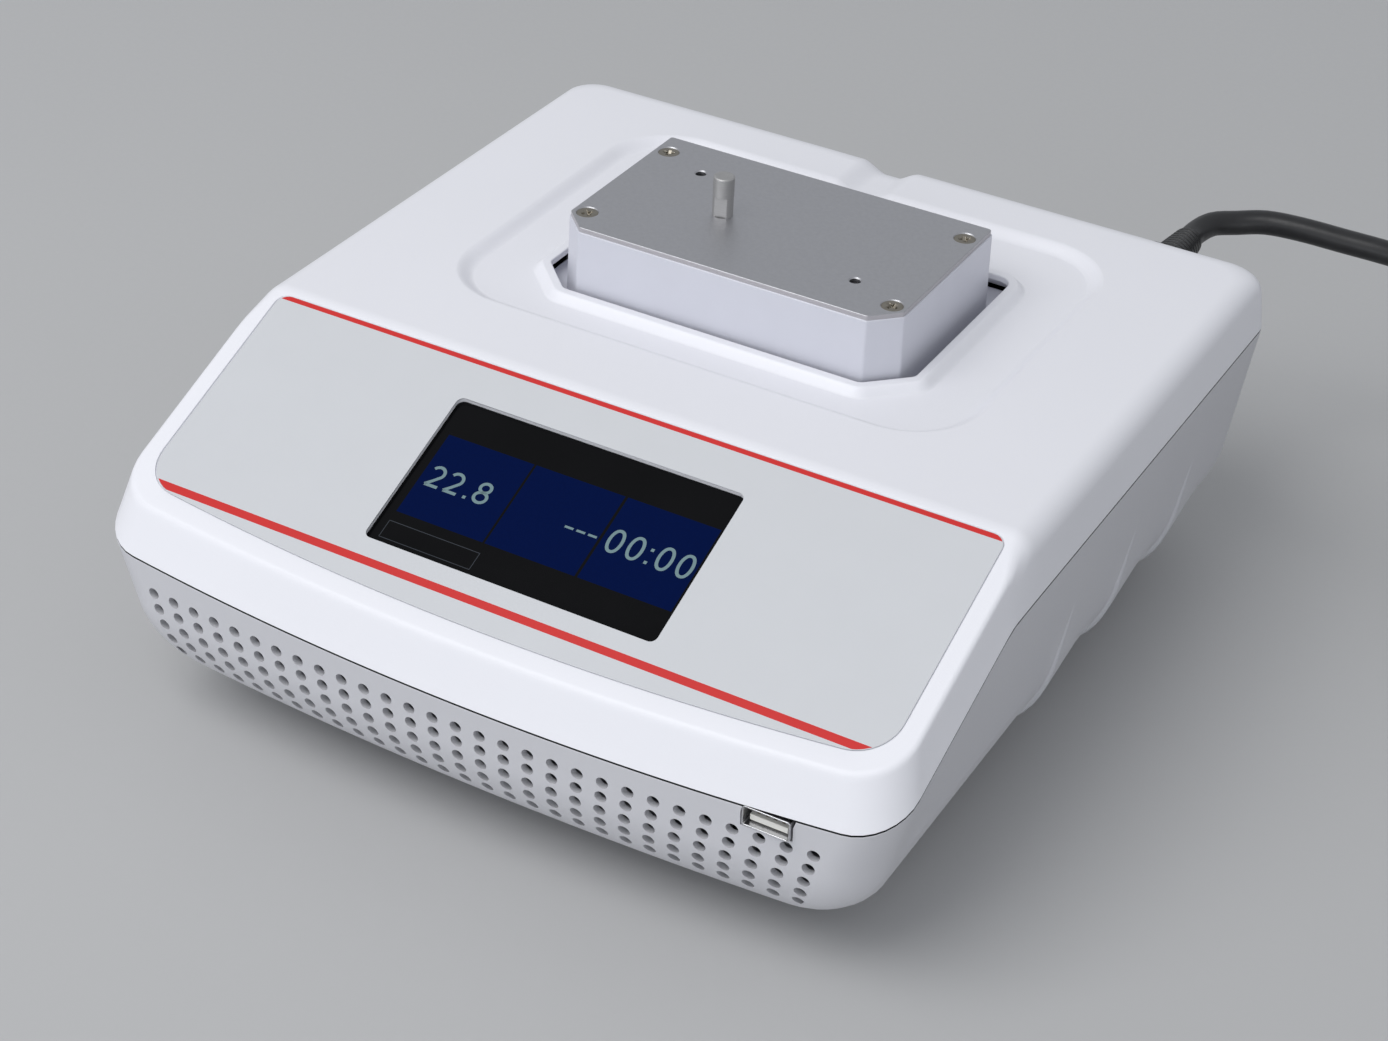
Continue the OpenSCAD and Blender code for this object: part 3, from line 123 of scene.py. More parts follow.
# colour, roughness, metal, spread and scale of the clouds, bump and scale of the grain, and what follows
FINISHES = {
    "white_shell": ((0.83, 0.83, 0.87), 0.42, 0, 0.008, 12, 0.12, 1500),
    "grey_shell": ((0.61, 0.61, 0.64), 0.45, 0, 0.01, 12, 0.12, 1500),
    "film": ((0.6, 0.61, 0.63), 0.36, 0, 0.008, 60, 0.06, 2500),
    "red_ink": ((0.6, 0.013, 0.011), 0.36, 0, 0.02, 60, 0.06, 2500),
    "plate_finish": ((0.52, 0.52, 0.54), 0.42, 1, 0.03, 700, 0.25, 2600, 0.05),
    "plate_side": ((0.42, 0.405, 0.425), 0.4, 0.1, 0.012, 90, 0.05, 1500),
    "machined_edge": ((0.48, 0.48, 0.5), 0.5, 1, 0.04, 400, 0.1, 1500),
    "skirt_paint": ((0.635, 0.64, 0.7), 0.38, 0.1, 0.012, 90, 0.05, 1500),
    "screw_steel": ((0.3, 0.275, 0.23), 0.34, 1, 0.1, 600, 0.1, 1200),
    "pin_steel": ((0.46, 0.455, 0.45), 0.5, 0.85, 0.05, 500, 0.15, 1200, 0.06, None, (1, 1, 12)),
    "bright_metal": ((0.66, 0.66, 0.68), 0.25, 1, 0.05, 300, 0.05),
    "anodised_sheet": ((0.5, 0.51, 0.52), 0.42, 1, 0.04, 300, 0.12, 1600),
    # near-black steel for the motor rotor; on the walls of the plate's threaded holes it is painted shade
    "dark_steel": ((0.05, 0.05, 0.055), 0.45, 0.6, 0.1, 200, 0.1),
    "brass": ((0.55, 0.38, 0.14), 0.3, 1, 0.06, 200, 0.06),
    "copper_wire": ((0.5, 0.2, 0.09), 0.35, 1, 0.15, 900, 0.4, 1500, 0.06, None, (1, 1, 8)),
    "board": ((0.015, 0.1, 0.04), 0.35, 0, 0.2, 260, 0.1, 700, 0.06, None, (1, 1, 1), 0.3),
    "heater_mat": ((0.45, 0.14, 0.05), 0.6, 0, 0.08, 300, 0.2),
    "foam": ((0.62, 0.58, 0.46), 0.85, 0, 0.06, 500, 0.5, 900),
    "black_plastic": ((0.018, 0.018, 0.019), 0.42, 0, 0.12, 200, 0.15, 1400),
    # near-black that paints the shade in the shells' seam gap and inside them, at the back of the USB socket and in the
    # fan screws' sockets
    "inside_black": ((0.01, 0.01, 0.01), 0.9, 0, 0.1, 100, 0),
    "rubber": ((0.02, 0.02, 0.02), 0.7, 0, 0.15, 300, 0.3, 900),
    "cord_sheath": ((0.016, 0.016, 0.017), 0.38, 0, 0.15, 200, 0.12, 500),
    "ceramic": ((0.7, 0.71, 0.7), 0.25, 0, 0.03, 200, 0.02),
    "usb_tongue": ((0.8, 0.79, 0.74), 0.4, 0, 0.03, 300, 0.05),
    "cover_glass": ((0.003, 0.003, 0.0035), 0.14, 0, 0.2, 30, 0, 400, 0.02, 1.2),
    "screen_blue": ((0.0003, 0.003, 0.028), 0.14, 0, 0.06, 900, 0, 400, 0.02, 1.12),
    "screen_digits": ((0.1, 0.16, 0.17), 0.2, 0, 0.02, 900, 0, 400, 0.02, 1.36),
    "screen_faint": ((0.03, 0.035, 0.045), 0.14, 0, 0.1, 900, 0, 400, 0.02),
    "floor": ((0.5, 0.5, 0.5), 0.5, 0, 0.01, 3, 0),
}
MAT = {name: material(name, *row) for name, row in FINISHES.items()}
for name, colour, strength in (("screen_blue", (0.0005, 0.005, 0.04), 0.5),
                               ("screen_digits", (0.5, 0.72, 0.76), 0.13)):
    shader = MAT[name].node_tree.nodes["Principled BSDF"].inputs
    shader["Emission Color"].default_value = (*colour, 1)
    shader["Emission Strength"].default_value = strength

NODES_OF = {
    "white_shell": "upper_housing", "grey_shell": "lower_housing", "film": "control_overlay",
    "cover_glass": "touch_glass", "plate_finish": "top_plate", "pin_steel": "locating_pin",
    "skirt_paint": "platform_skirt", "dark_steel": "motor_rotor", "copper_wire": "motor_stator",
    "heater_mat": "heater_mat", "foam": "insulation_block idler_bushes", "ceramic": "fuses",
    "rubber": "rubber_feet", "brass": "counterweight board_standoffs",
    "board": "display_board control_board usb_board",
    "anodised_sheet": "lcd_module carrier_plate bearing_block drive_bridge base_plate power_supply rear_panel",
    "screw_steel": "display_screws plate_screws carrier_screws bridge_posts bridge_screws case_screws",
    "bright_metal": "temperature_sensor platform_bearing eccentric_shaft shaft_bearings idler_bearings "
                    "idler_crank_1 idler_crank_2 idler_crank_3 idler_crank_4 usb_port serial_port",
    "black_plastic": "power_inlet fuse_drawer switch_body power_rocker fan_frame fan_impeller",
    "cord_sheath": "cord_connector strain_relief mains_plug power_cord cord_coil plug_lead",
}
for finish, names in NODES_OF.items():
    for name in names.split():
        materials = NODES[name].data.materials
        materials.clear()
        materials.append(MAT[finish])

# ---------- mesh helpers ----------


def unit(v):
    return v / np.maximum(np.linalg.norm(v, axis=-1, keepdims=True), 1e-9)


def at_z(p, z):
    """Points of the plane, put at height z."""
    return np.c_[p, np.full(len(p), z)]


def along_loop(p):
    """The direction of a closed loop at each of its points."""
    return np.roll(p, -1, 0) - np.roll(p, 1, 0)


def loop_normals(p):
    """Outward normals of a counter-clockwise outline at its points."""
    return unit(along_loop(p)[:, ::-1] * (1, -1))


def outward(v, n, faces):
    """Turns every face so that it looks the way its vertex normals do."""
    size = np.array([len(f) for f in faces])
    flat = np.concatenate([np.asarray(f, int) for f in faces])
    start = np.concatenate([[0], np.cumsum(size)[:-1]])
    at = np.arange(len(flat)) - np.repeat(start, size)
    following = np.repeat(start, size) + (at + 1) % np.repeat(size, size)
    area = np.add.reduceat(np.cross(v[flat], v[flat[following]]), start, axis=0)
    wrong = (area * np.add.reduceat(n[flat], start, axis=0)).sum(1) < 0
    return [f[::-1] if w else f for f, w in zip(faces, wrong)]


class Skin:
    """Collects faces with their own vertex normals and makes one smooth mesh.
    The faces may run either way round: the normals decide which side is out."""

    def __init__(self):
        self.v, self.n, self.f, self.m, self.count = [], [], [], [], 0

    def add(self, pts, normals, faces, mat=0):
        self.v.append(np.asarray(pts, float))
        self.n.append(unit(np.asarray(normals, float)))
        self.f += [tuple(int(i) + self.count for i in f) for f in faces]
        self.m += list(mat) if hasattr(mat, "__len__") else [mat] * len(faces)
        self.count += len(pts)

    def cap(self, pts, normal, mat=0):
        """One flat face."""
        self.add(pts, [normal] * len(pts), [range(len(pts))], mat)

    def grid(self, pts, normals=None, mat=0, closed=True, side=1):
        """pts is rows x columns x 3. Normals come from the neighbours, on that side, if not given."""
        pts = np.asarray(pts, float)
        r, c = pts.shape[:2]
        if normals is None:
            normals = np.cross(np.roll(pts, -1, 1) - np.roll(pts, 1, 1), np.gradient(pts, axis=0)) * side
        faces = [(i * c + j, i * c + (j + 1) % c, (i + 1) * c + (j + 1) % c, (i + 1) * c + j)
                 for i in range(r - 1) for j in range(c if closed else c - 1)]
        self.add(pts.reshape(-1, 3), np.broadcast_to(normals, pts.shape).reshape(-1, 3), faces, mat)

    def weld(self, size=0.004):
        """Joins the points that lie together so far. They share their normals."""
        v, n = np.concatenate(self.v), np.concatenate(self.n)
        key = np.round(v / size).astype(np.int64)
        _, first, inv = np.unique(key, axis=0, return_index=True, return_inverse=True)
        inv = inv.reshape(-1)
        total = np.zeros((len(first), 3))
        np.add.at(total, inv, n)
        faces = [(tuple(dict.fromkeys(inv[list(f)])), m) for f, m in zip(self.f, self.m)]
        faces = [(f, m) for f, m in faces if len(f) > 2]
        self.__init__()
        self.add(v[first], total, [f for f, _ in faces], [m for _, m in faces])

    def mesh(self, name, mats):
        me = bpy.data.meshes.new(name)
        v, n = np.concatenate(self.v), np.concatenate(self.n)
        me.from_pydata((v * MM).tolist(), [], outward(v, n, self.f))
        for m in mats:
            me.materials.append(MAT[m])
        me.polygons.foreach_set("material_index", np.array(self.m, np.int32))
        me.polygons.foreach_set("use_smooth", np.ones(len(me.polygons), bool))
        me.update()
        me.normals_split_custom_set_from_vertices(n.tolist())
        return me


def piece(body, slot, mats, *replaced):
    """Turns the function below, which draws on a skin, into the piece of its name. Faces pick one of mats."""
    def make(draw):
        skin = Skin()
        draw(skin)
        obj = add_object(draw.__name__, skin.mesh(draw.__name__, mats.split()))
        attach(obj, body)
        if replaced:
            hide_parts(*replaced)
        return obj
    return make


def inside(poly, p):
    """Which of the points p lie in the polygon."""
    x, y = p[:, 0], p[:, 1]
    out = np.zeros(len(p), bool)
    for (x0, y0), (x1, y1) in zip(poly, np.roll(poly, -1, 0)):
        if y0 != y1:
            out ^= ((y0 > y) != (y1 > y)) & (x < (x1 - x0) * (y - y0) / (y1 - y0) + x0)
    return out


def segment_distance(poly, p):
    """How far each of the points p is from the polygon's edges."""
    best = np.full(len(p), 1e9)
    for a, b in zip(poly, np.roll(poly, -1, 0)):
        d = b - a
        t = np.clip(((p - a) @ d) / max(d @ d, 1e-12), 0, 1)
        best = np.minimum(best, np.linalg.norm(p - a - t[:, None] * d, axis=1))
    return best


def triangulate(loop, lines=(), points=(), holes=()):
    """Triangles of the area inside the loop and outside the holes, keeping every line as edges."""
    co, edges = [], []
    for line, closed in [(loop, 1)] + [(h, 1) for h in holes] + [(line, 0) for line in lines]:
        start, count = len(co), len(line)
        co += [tuple(map(float, p)) for p in line]
        edges += [(start + i, start + (i + 1) % count) for i in range(count - 1 + closed)]
    co += [tuple(map(float, p)) for p in points]
    v, _, f, _, _, _ = delaunay_2d_cdt([Vector(p) for p in co], edges, [], 0, 1e-5)
    v, f = np.array([tuple(p) for p in v]), np.array(f, int)
    mid = v[f].mean(1)
    keep = inside(loop, mid)
    for h in holes:
        near = np.where(keep & (mid >= np.min(h, 0)).all(1) & (mid <= np.max(h, 0)).all(1))[0]
        keep[near[inside(h, mid[near])]] = False
    a, b, c = v[f[:, 0]], v[f[:, 1]], v[f[:, 2]]
    area = (b[:, 0] - a[:, 0]) * (c[:, 1] - a[:, 1]) - (b[:, 1] - a[:, 1]) * (c[:, 0] - a[:, 0])
    return v, f[keep & (np.abs(area) > 1e-9)]


def lift(fn, v, side, e):
    """The points of a flat triangulation on the surface fn(a, b), and its normals there on that side."""
    a, b = v[:, 0], v[:, 1]
    return fn(a, b), np.cross(fn(a + e, b) - fn(a - e, b), fn(a, b + e) - fn(a, b - e)) * side


def smooth(t):
    t = np.clip(t, 0, 1)
    return t * t * (3 - 2 * t)


def arc(cx, cy, r, a0, a1, n):
    a = np.radians(np.linspace(a0, a1, n + 1))
    return np.c_[cx + r * np.cos(a), cy + r * np.sin(a)]


def circle(x, y, r, n=40):
    return arc(x, y, r, 0, 360, n)[:-1]


def rounded(x0, x1, y0, y1, r, n):
    """A rectangle with round corners."""
    corners = ((x1 - r, y0 + r), (x1 - r, y1 - r), (x0 + r, y1 - r), (x0 + r, y0 + r))
    return np.concatenate([arc(x, y, r, 90 * k - 90, 90 * k, n) for k, (x, y) in enumerate(corners)])


def edge_normals(p):
    """Outward normals of the edges before and after each corner of a counter-clockwise outline."""
    e = unit(np.roll(p, -1, 0) - p)
    n = np.c_[e[:, 1], -e[:, 0]]
    return np.roll(n, 1, 0), n


def offset(p, g):
    """A convex outline grown by g, with its corners mitred."""
    m = sum(edge_normals(p))
    return p + m * (2 * g / np.maximum((m * m).sum(1), 0.2))[:, None]


def fillet(poly, r, n=5):
    """Rounds the corners of a convex outline."""
    p = np.asarray(poly, float)
    out = []
    for a, b, c in zip(np.roll(p, 1, 0), p, np.roll(p, -1, 0)):
        u, w = unit(a - b), unit(c - b)
        half = math.acos(np.clip(u @ w, -1, 1)) / 2
        o = b + unit(u + w) * r / sin(half)
        a0, a1 = b + u * r / tan(half) - o, b + w * r / tan(half) - o
        t0, t1 = math.atan2(a0[1], a0[0]), math.atan2(a1[1], a1[0])
        out += [o + r * np.array([cos(t), sin(t)]) for t in np.linspace(t0, t1 + (t1 < t0) * 2 * math.pi, n + 1)]
    return np.array(out)


def prism(skin, outline, z0, z1, bevel, holes=(), mat=0, place=np.asarray, draft=0.0):
    """A solid with rounded top and bottom edges from a counter-clockwise convex outline.
    holes are (outline, edge rounding). place moves the points. draft widens the foot."""
    for loop, b, side in [(outline, bevel, 1)] + [(*h, -1) for h in holes]:
        at, out, rows, normals = [], [], [], []
        for i, pair in enumerate(zip(*edge_normals(loop))):
            for n in pair if np.dot(*pair) < 0.9 else [sum(pair)]:
                at.append(i)
                out.append(unit(n) * side)
        for end, z_end, turn in ((1, z1, TURN[::-1]), (-1, z0, TURN)):
            for c, s in turn:
                z = z_end - end * b * (1 - s)
                wide = draft * (z1 - z) / (z1 - z0) if side > 0 else 0
                rows.append(at_z(offset(loop, wide - b * (1 - c) * side)[at], z))
                normals.append(at_z(np.array(out) * c, end * s))
        rows, normals = np.array(rows), np.array(normals)
        skin.grid(place(rows), place(rows + normals) - place(rows), mat)
    v, f = triangulate(offset(outline, -bevel), holes=[offset(h, b) for h, b in holes])
    for z, n in ((z1, UP), (z0, DOWN)):
        p = at_z(v, z)
        skin.add(place(p), place(p + n) - place(p), f, mat)


def lathe(skin, x, y, profile, mat=0, n=40, side=1):
    """A turned surface about a vertical axis: profile is (radius, z) from top to bottom. side is -1 for a bore."""
    c = circle(0, 0, 1, n)
    for (r0, z0), (r1, z1) in zip(profile, profile[1:]):
        rows = [at_z(c * r + (x, y), z) for r, z in ((r0, z0), (r1, z1))]
        skin.grid(rows, at_z(c * (z0 - z1), r1 - r0) * side, mat)

# ---------- mains cord ----------

CORD_R, CORD_D = 4.2, 8.4
LAYER_1, LAYER_2 = 4.3, 12.7
ROUTE = [(85, 183, 80), (85, 189, 80), (88, 197, 81), (95, 203, 81), (104, 207, 82), (116, 209, 82),
         (130, 211, 81), (144, 213, 80), (158, 216, 78), (172, 219, 74), (185, 222, 67), (197, 224, 58),
         (208, 226, 47), (219, 227, 36), (231, 227, 25), (244, 226, 15), (258, 223, 8), (273, 218, 5),
         (287, 211, 4.4), (299, 201, 4.4), (308, 189, 4.4), (314, 176, 4.4), (316, 163, 4.4)]
LEAD = [(313, 140, 12.7), (314, 130, 12.8), (315, 120, 12.7), (316, 110, 12.3), (316, 100, 12), (316, 90, 12)]
COIL_X, COIL_Y = 256.8, 150.0


def coil_points():
    """Three turns inward on the bench, a climb, then two turns outward on top, as (radius, turns, z)."""
    out = [(60.2 - CORD_D * i / 24, i / 24, LAYER_1) for i in range(3 * 24 + 1)]
    out += [(35 + 2.6 * max(u - 0.4, 0) / 0.6, 3 + u / 6, LAYER_1 + CORD_D * (1 - (1 - u) ** 2))
            for u in (0.25, 0.5, 0.75, 1)]
    start, n = 3 + 1 / 6, 44
    out += [(37.6 + 18.4 * i / n, start + (5 - start) * i / n, LAYER_2) for i in range(1, n + 1)]
    return [(COIL_X + r * cos(-2 * math.pi * t), COIL_Y + r * sin(-2 * math.pi * t), z) for r, t, z in out]


def spline(points):
    """A smooth curve through the points, resampled every 3 mm."""
    p = np.array(points, float)
    p = np.vstack([2 * p[0] - p[1], p, 2 * p[-1] - p[-2]])
    out = []
    for a, b, c, d in zip(p, p[1:], p[2:], p[3:]):
        n = max(2, int(np.linalg.norm(c - b) / 3) + 1)
        for t in np.arange(n) / n:
            out.append(0.5 * (2 * b + (c - a) * t + (2 * a - 5 * b + 4 * c - d) * t * t
                              + (3 * b - a - 3 * c + d) * t ** 3))
    return np.array(out + [p[-2]])


cord_line = spline(ROUTE + coil_points() + LEAD)
cord_line[:, 2] = np.maximum(cord_line[:, 2], CORD_R + 0.1)


@piece("housing", "cord", "cord_sheath", "power_cord", "cord_coil", "plug_lead")
def mains_cord(s):
    t = unit(np.gradient(cord_line, axis=0))
    u = unit(np.cross(UP, t))
    c = circle(0, 0, 1, 16)
    n = u[:, None] * c[None, :, :1] + np.cross(t, u)[:, None] * c[None, :, 1:]
    s.grid(cord_line[:, None] + n * CORD_R, n)
    for end, side in ((0, -1), (-1, 1)):
        s.cap(cord_line[end] + n[end] * CORD_R, t[end] * side)


def upright(x, z, w, h, r, y):
    """A rounded section across y, w and h to each side of (x, z)."""
    p = rounded(x - w, x + w, z - h, z + h, r, 5)
    return np.c_[p[:, 0], np.full(len(p), y), p[:, 1]]


@piece("housing", "cord", "cord_sheath", "cord_connector", "strain_relief")
def mains_connector(s):
    """Moulded C13 connector with finger ribs, and its ribbed strain relief."""
    x, z, y0, end = 85.0, 80.0, 137.3, 183.0
    profile = [(11.9, 7.8, 1.5, y0 - 18.7), (11.9, 7.8, 1.5, y0 + 0.2), (12, 8.2, 2, y0 + 0.25),
               (12.55, 8.75, 2.4, y0 + 0.9)]
    for k in range(6):
        y, w = y0 + 4 + k * 2.2, 12.55 - 0.28 * k
        profile += [(w, 8.7, 2.4, y), (w - 0.55, 8.2, 2.2, y + 0.5), (w - 0.55, 8.2, 2.2, y + 1.3),
                    (w - 0.1, 8.65, 2.4, y + 1.8)]
    profile += [(9.6, 8.2, 3.4, y0 + 21), (8.9, 7.8, 4.5, y0 + 24.6), (7.4, 7.2, 5.5, y0 + 25.6)]
    rows = [upright(x, z, *row) for row in profile]
    s.grid(rows, side=-1)
    s.cap(rows[-1], REAR)
    s.cap(rows[0], FRONT)
    y, rings = y0 + 25, []
    while y < end - 0.2:
        r = 7 - 2.1 * (y - y0 - 25) / (end - y0 - 25)
        rings += [(y + dy, r + dr) for dy, dr in ((0, 0), (1.35, -0.05), (1.5, -0.7), (2.15, -0.75), (2.3, -0.1))
                  if y + dy < end]
        y += 2.35
    c = circle(0, 0, 1, 24)
    pts = [np.c_[x + c[:, 0] * r, np.full(24, y), z + c[:, 1] * r] for y, r in rings + [(end, 4.8)]]
    s.grid(pts, side=-1)
    s.cap(pts[-1], REAR)


@piece("housing", "cord", "cord_sheath brass", "mains_plug")
def mains_plug_moulding(s):
    """Moulded three-pin plug with a waist for the fingers."""
    x, z, y0 = 316.0, 12.0, 90.0
    profile = [(0, 5.2, 5.2, 5), (0.8, 6, 6, 6), (3, 6.2, 6.1, 6), (8, 8.6, 8, 5), (12, 12.4, 11.2, 3),
               (16, 12.9, 11.4, 3), (20, 12.3, 10.8, 3), (24, 11.9, 10.4, 3), (28, 12.3, 10.8, 3),
               (31, 12.9, 11.4, 3), (36.6, 12.95, 11.45, 3), (37.6, 12.6, 11.1, 2.8), (38, 11.6, 10.1, 2.4)]
    rows = [upright(x, z, w, h, min(r, w, h) - 0.01, y0 - d) for d, w, h, r in profile]
    s.grid(rows)
    s.cap(rows[-1], FRONT)
    s.cap(rows[0], REAR)

    def ahead(p):
        return np.stack([p[..., 0], y0 - 38 - p[..., 2], p[..., 1]], -1)

    for cx in (x - 6.35, x + 6.35):
        blade = np.array([(cx - 0.75, z - 3.15), (cx + 0.75, z - 3.15), (cx + 0.75, z + 3.15), (cx - 0.75, z + 3.15)])
        prism(s, blade, -0.5, 16.9, 0.35, mat=1, place=ahead)
    prism(s, arc(x, z - 8, 2.35, 0, 345, 23), -0.5, 19.9, 1.0, mat=1, place=ahead)


# ---------- the housing's form ----------

HW, FY, BY, TOP = 130.0, -137.5, 137.5, 105.0
FLOOR, WALL = 7.5, 2.6
BOW = (115.0 ** 2 + 5.5 ** 2) / 11.0
SLOPE, BEND_R = rad(22.7), 11.0
BEND_RUN = BEND_R * tan(SLOPE / 2)
SHOULDER = FY + 89.8
SEAM_Z, BEND = TOP - 19.5, FY + 74.9
SEAM_LOW, SEAM_HIGH = 0.65, 0.3
DRIVE_Y = BY - 101.1
LOW_R, LOW_FR, LOW_BR = 36.0, 34.0, 26.0
LOW_TILT, FRONT_TILT = rad(7), rad(4)
RIM = 9.0
BASE_TOP = FLOOR + LOW_R * (1 - sin(LOW_TILT))
REC = (-89.0, 89.0, BY - 25 - 133, BY - 25)
REC_R, REC_DEEP = 25.0, 2.8
CHANNEL_X, CHANNEL_HALF = -4.5, 11
WIN_X0, WIN_X1, WIN_Z0, WIN_Z1 = -100.5, 106.5, 43.5, 93.4
BACK_HALF = HW - 10.0
WIN_U = (1 - WIN_X1 / BACK_HALF, 1 - WIN_X0 / BACK_HALF)


def plan(seg, u, side, front, back, rb=10.0):
    """Outline of the right half: 0 front, 1 front corner, 2 side, 3 back corner, 4 back. u runs 0 to 1."""
    rf = 16.0
    hw, yb, cy, k = HW - side, BY - back, FY + front + BOW, BOW - rf
    beta = np.arcsin((hw - rf) / k)
    yc = cy - k * np.cos(beta)
    if seg == 0:
        return BOW * np.sin(beta * u), cy - BOW * np.cos(beta * u)
    if seg == 1:
        a = (-math.pi / 2 + beta) * (1 - u)
        return hw - rf + rf * np.cos(a), yc + rf * np.sin(a)
    if seg == 2:
        return hw + 0 * u, yc + (yb - rb - yc) * u
    if seg == 3:
        a = math.pi / 2 * u
        return hw - rb + rb * np.cos(a), yb - rb + rb * np.sin(a)
    return (hw - rb) * (1 - u), yb + 0 * u


def roof(y):
    """Height of the plain roof: flat, a bend of radius BEND_R, then the slope."""
    y = np.asarray(y, float)
    past = SHOULDER + BEND_RUN - y
    bend_z = TOP - BEND_R + np.sqrt(np.maximum(BEND_R ** 2 - past ** 2, 0))
    slope_z = TOP - (SHOULDER - y) * tan(SLOPE)
    return np.where(past <= 0, TOP, np.where(past < BEND_R * sin(SLOPE), bend_z, slope_z))


def seam(y):
    t = BEND - y
    return SEAM_Z - tan(rad(22.57)) * 0.5 * (t + np.sqrt(t * t + 6))


def draw_in(z, tilt, high, r):
    """How far the lower wall stands in at height z: a tilt below high, then a turn of radius r."""
    low = FLOOR + r * (1 - sin(tilt))
    flat = (high - np.maximum(z, low)) * tan(tilt)
    turn = np.arcsin(np.minimum(1, sin(tilt) + np.maximum(low - z, 0) / r))
    return flat + np.where(z < low, r * (cos(tilt) - np.cos(turn)), 0)


def quarter(v):
    """How much of a rounded edge's height is left at v, which runs from 1 to 2 round it."""
    return 1 - np.sin(math.pi / 2 * np.maximum(v - 1, 0))


def rise(foot, z_foot, x, y, z, v):
    """A wall point: v is 0 at the foot on the seam and runs straight to v = 1, then on round the edge."""
    w = np.minimum(v, 1)
    return np.stack([foot[0] + (x - foot[0]) * w, foot[1] + (y - foot[1]) * w, z_foot + (z - z_foot) * w], -1)


def lower(seg, u, v):
    """Lower shell: v 0 to 1 from the seam down the wall, 1 to 2 round the bottom edge."""
    u, v = np.asarray(u, float), np.asarray(v, float)
    z = FLOOR + (BASE_TOP - FLOOR) * quarter(v)
    back = draw_in(z, 0, SEAM_Z, LOW_BR)
    x, y = plan(seg, u, draw_in(z, LOW_TILT, SEAM_Z, LOW_R), draw_in(z, FRONT_TILT, 54.37, LOW_FR), back,
                10 + 0.4 * back)
    foot = plan(seg, u, 0.0, 0.0, 0.0)
    return rise(foot, seam(foot[1]) - SEAM_LOW, x, y, z, v)


def rim_in(d, c, t, r):
    """Inset at depth d of a wall that leans in by t per mm to inset c at the roof, its edge rounded by r."""
    k = np.sqrt(1 + t * t)
    arc_in = c + r * k - r * t - np.sqrt(np.maximum(r * r - (r - d) ** 2, 0))
    return np.where(d > r * (1 - t / k), c - d * t, arc_in)


def insets(y, d):
    """Insets of the upper shell's side, front and back walls at depth d below the roof."""
    t = smooth((y - SHOULDER + 18) / 22)
    c = 3.4 - 0.4 * t
    return (rim_in(d, c, c / (roof(y) - seam(y)), 1.6 + 5.9 * t), rim_in(d, 5.4, 0.4135, 1.8),
            1.2 * rim_in(d, 0, 0, RIM))


def channel(x, y):
    """Depth of the channel that leads out of the recess over the back edge."""
    deep = REC_DEEP + 1.3 * np.clip((y - REC[3]) / (BY - REC[3]), 0, 1)
    return np.where(y > REC[3] - 8, deep * smooth((CHANNEL_HALF - np.abs(x - CHANNEL_X)) / 8.5), 0)


def upper(seg, u, v):
    """Upper shell: v 0 to 1 from the seam up the wall, 1 to 2 over the rounded edge."""
    u, v = np.broadcast_arrays(np.asarray(u, float), np.asarray(v, float))
    d = RIM * quarter(v)
    foot = plan(seg, u, 0.0, 0.0, 0.0)
    x, y = plan(seg, u, *insets(foot[1], d))
    z = roof(y) - d
    if seg == 4:
        z = z - channel(x, y) * (1 - (d / RIM) ** 1.5)
    return rise(foot, seam(foot[1]) + SEAM_HIGH, x, y, z, v)


def upper_side(u, v):
    """The side of the upper shell with its stations kept at fixed places along the shoulder."""
    u, v = np.broadcast_arrays(np.asarray(u, float), np.asarray(v, float))
    d = RIM * quarter(v)
    k = np.interp(u, [0, 0.1, 0.9, 1], [0, 1, 2, 3])

    def station(front, back):
        y0, y1 = plan(2, 0 * u, *front)[1], plan(2, 0 * u + 1, *back)[1]
        return np.where(k < 1, y0 + (-100 - y0) * k, np.where(k < 2, -100 + 210 * (k - 1), 110 + (y1 - 110) * (k - 2)))

    y_foot = station((0.0, 0.0, 0.0), (0.0, 0.0, 0.0))
    y = station(insets(FY + 20, d), insets(BY - 20, d))
    return rise((HW + 0 * u, y_foot), seam(y_foot) + SEAM_HIGH, HW - insets(y, d)[0], y, roof(y) - d, v)


LOWER = [partial(lower, seg) for seg in range(5)]
UPPER = [partial(upper, 0), partial(upper, 1), upper_side, partial(upper, 3), partial(upper, 4)]

# ---------- patches of the shells ----------

VL = np.concatenate([np.linspace(0, 1, 5), np.linspace(1, 2, 13)[1:]])
UF, UC, US, UB = np.linspace(-1, 1, 33), np.linspace(0, 1, 9), np.linspace(0, 1, 41), np.linspace(0, 2, 25)
GILL_TOP, GILL_PITCH, GILL_LEAN = 59, 47.6, 0.29


def patch(fn):
    """The surface in patch coordinates, which are about as long as the millimetres they cover."""
    return lambda a, b: fn(a / 100, b / 25)


front_low, side_low, back_low = patch(LOWER[0]), patch(LOWER[2]), patch(LOWER[4])


def invert(fn, comps, target, guess):
    """Where fn(a, b) has the target values in two of its components."""
    target, h = np.asarray(target, float), 0.01
    a, b = (np.full(len(target), float(g)) for g in guess)
    for _ in range(14):
        p = fn(a, b)[:, comps]
        ja, jb = (fn(a + h, b)[:, comps] - p) / h, (fn(a, b + h)[:, comps] - p) / h
        r = target - p
        det = ja[:, 0] * jb[:, 1] - ja[:, 1] * jb[:, 0]
        det = np.where(np.abs(det) < 1e-9, 1e-9, det)
        a = a + np.clip((r[:, 0] * jb[:, 1] - r[:, 1] * jb[:, 0]) / det, -30, 30)
        b = np.clip(b + np.clip((ja[:, 0] * r[:, 1] - ja[:, 1] * r[:, 0]) / det, -8, 8), 0, 50)
    return np.c_[a, b]


def border(us, vs):
    """Closed boundary of a rectangle of stations, in patch coordinates."""
    a, b = [u * 100 for u in us], [v * 25 for v in vs]
    return ([(x, b[-1]) for x in a] + [(a[-1], y) for y in b[::-1][1:]]
            + [(x, b[0]) for x in a[::-1][1:]] + [(a[0], y) for y in b[1:-1]])


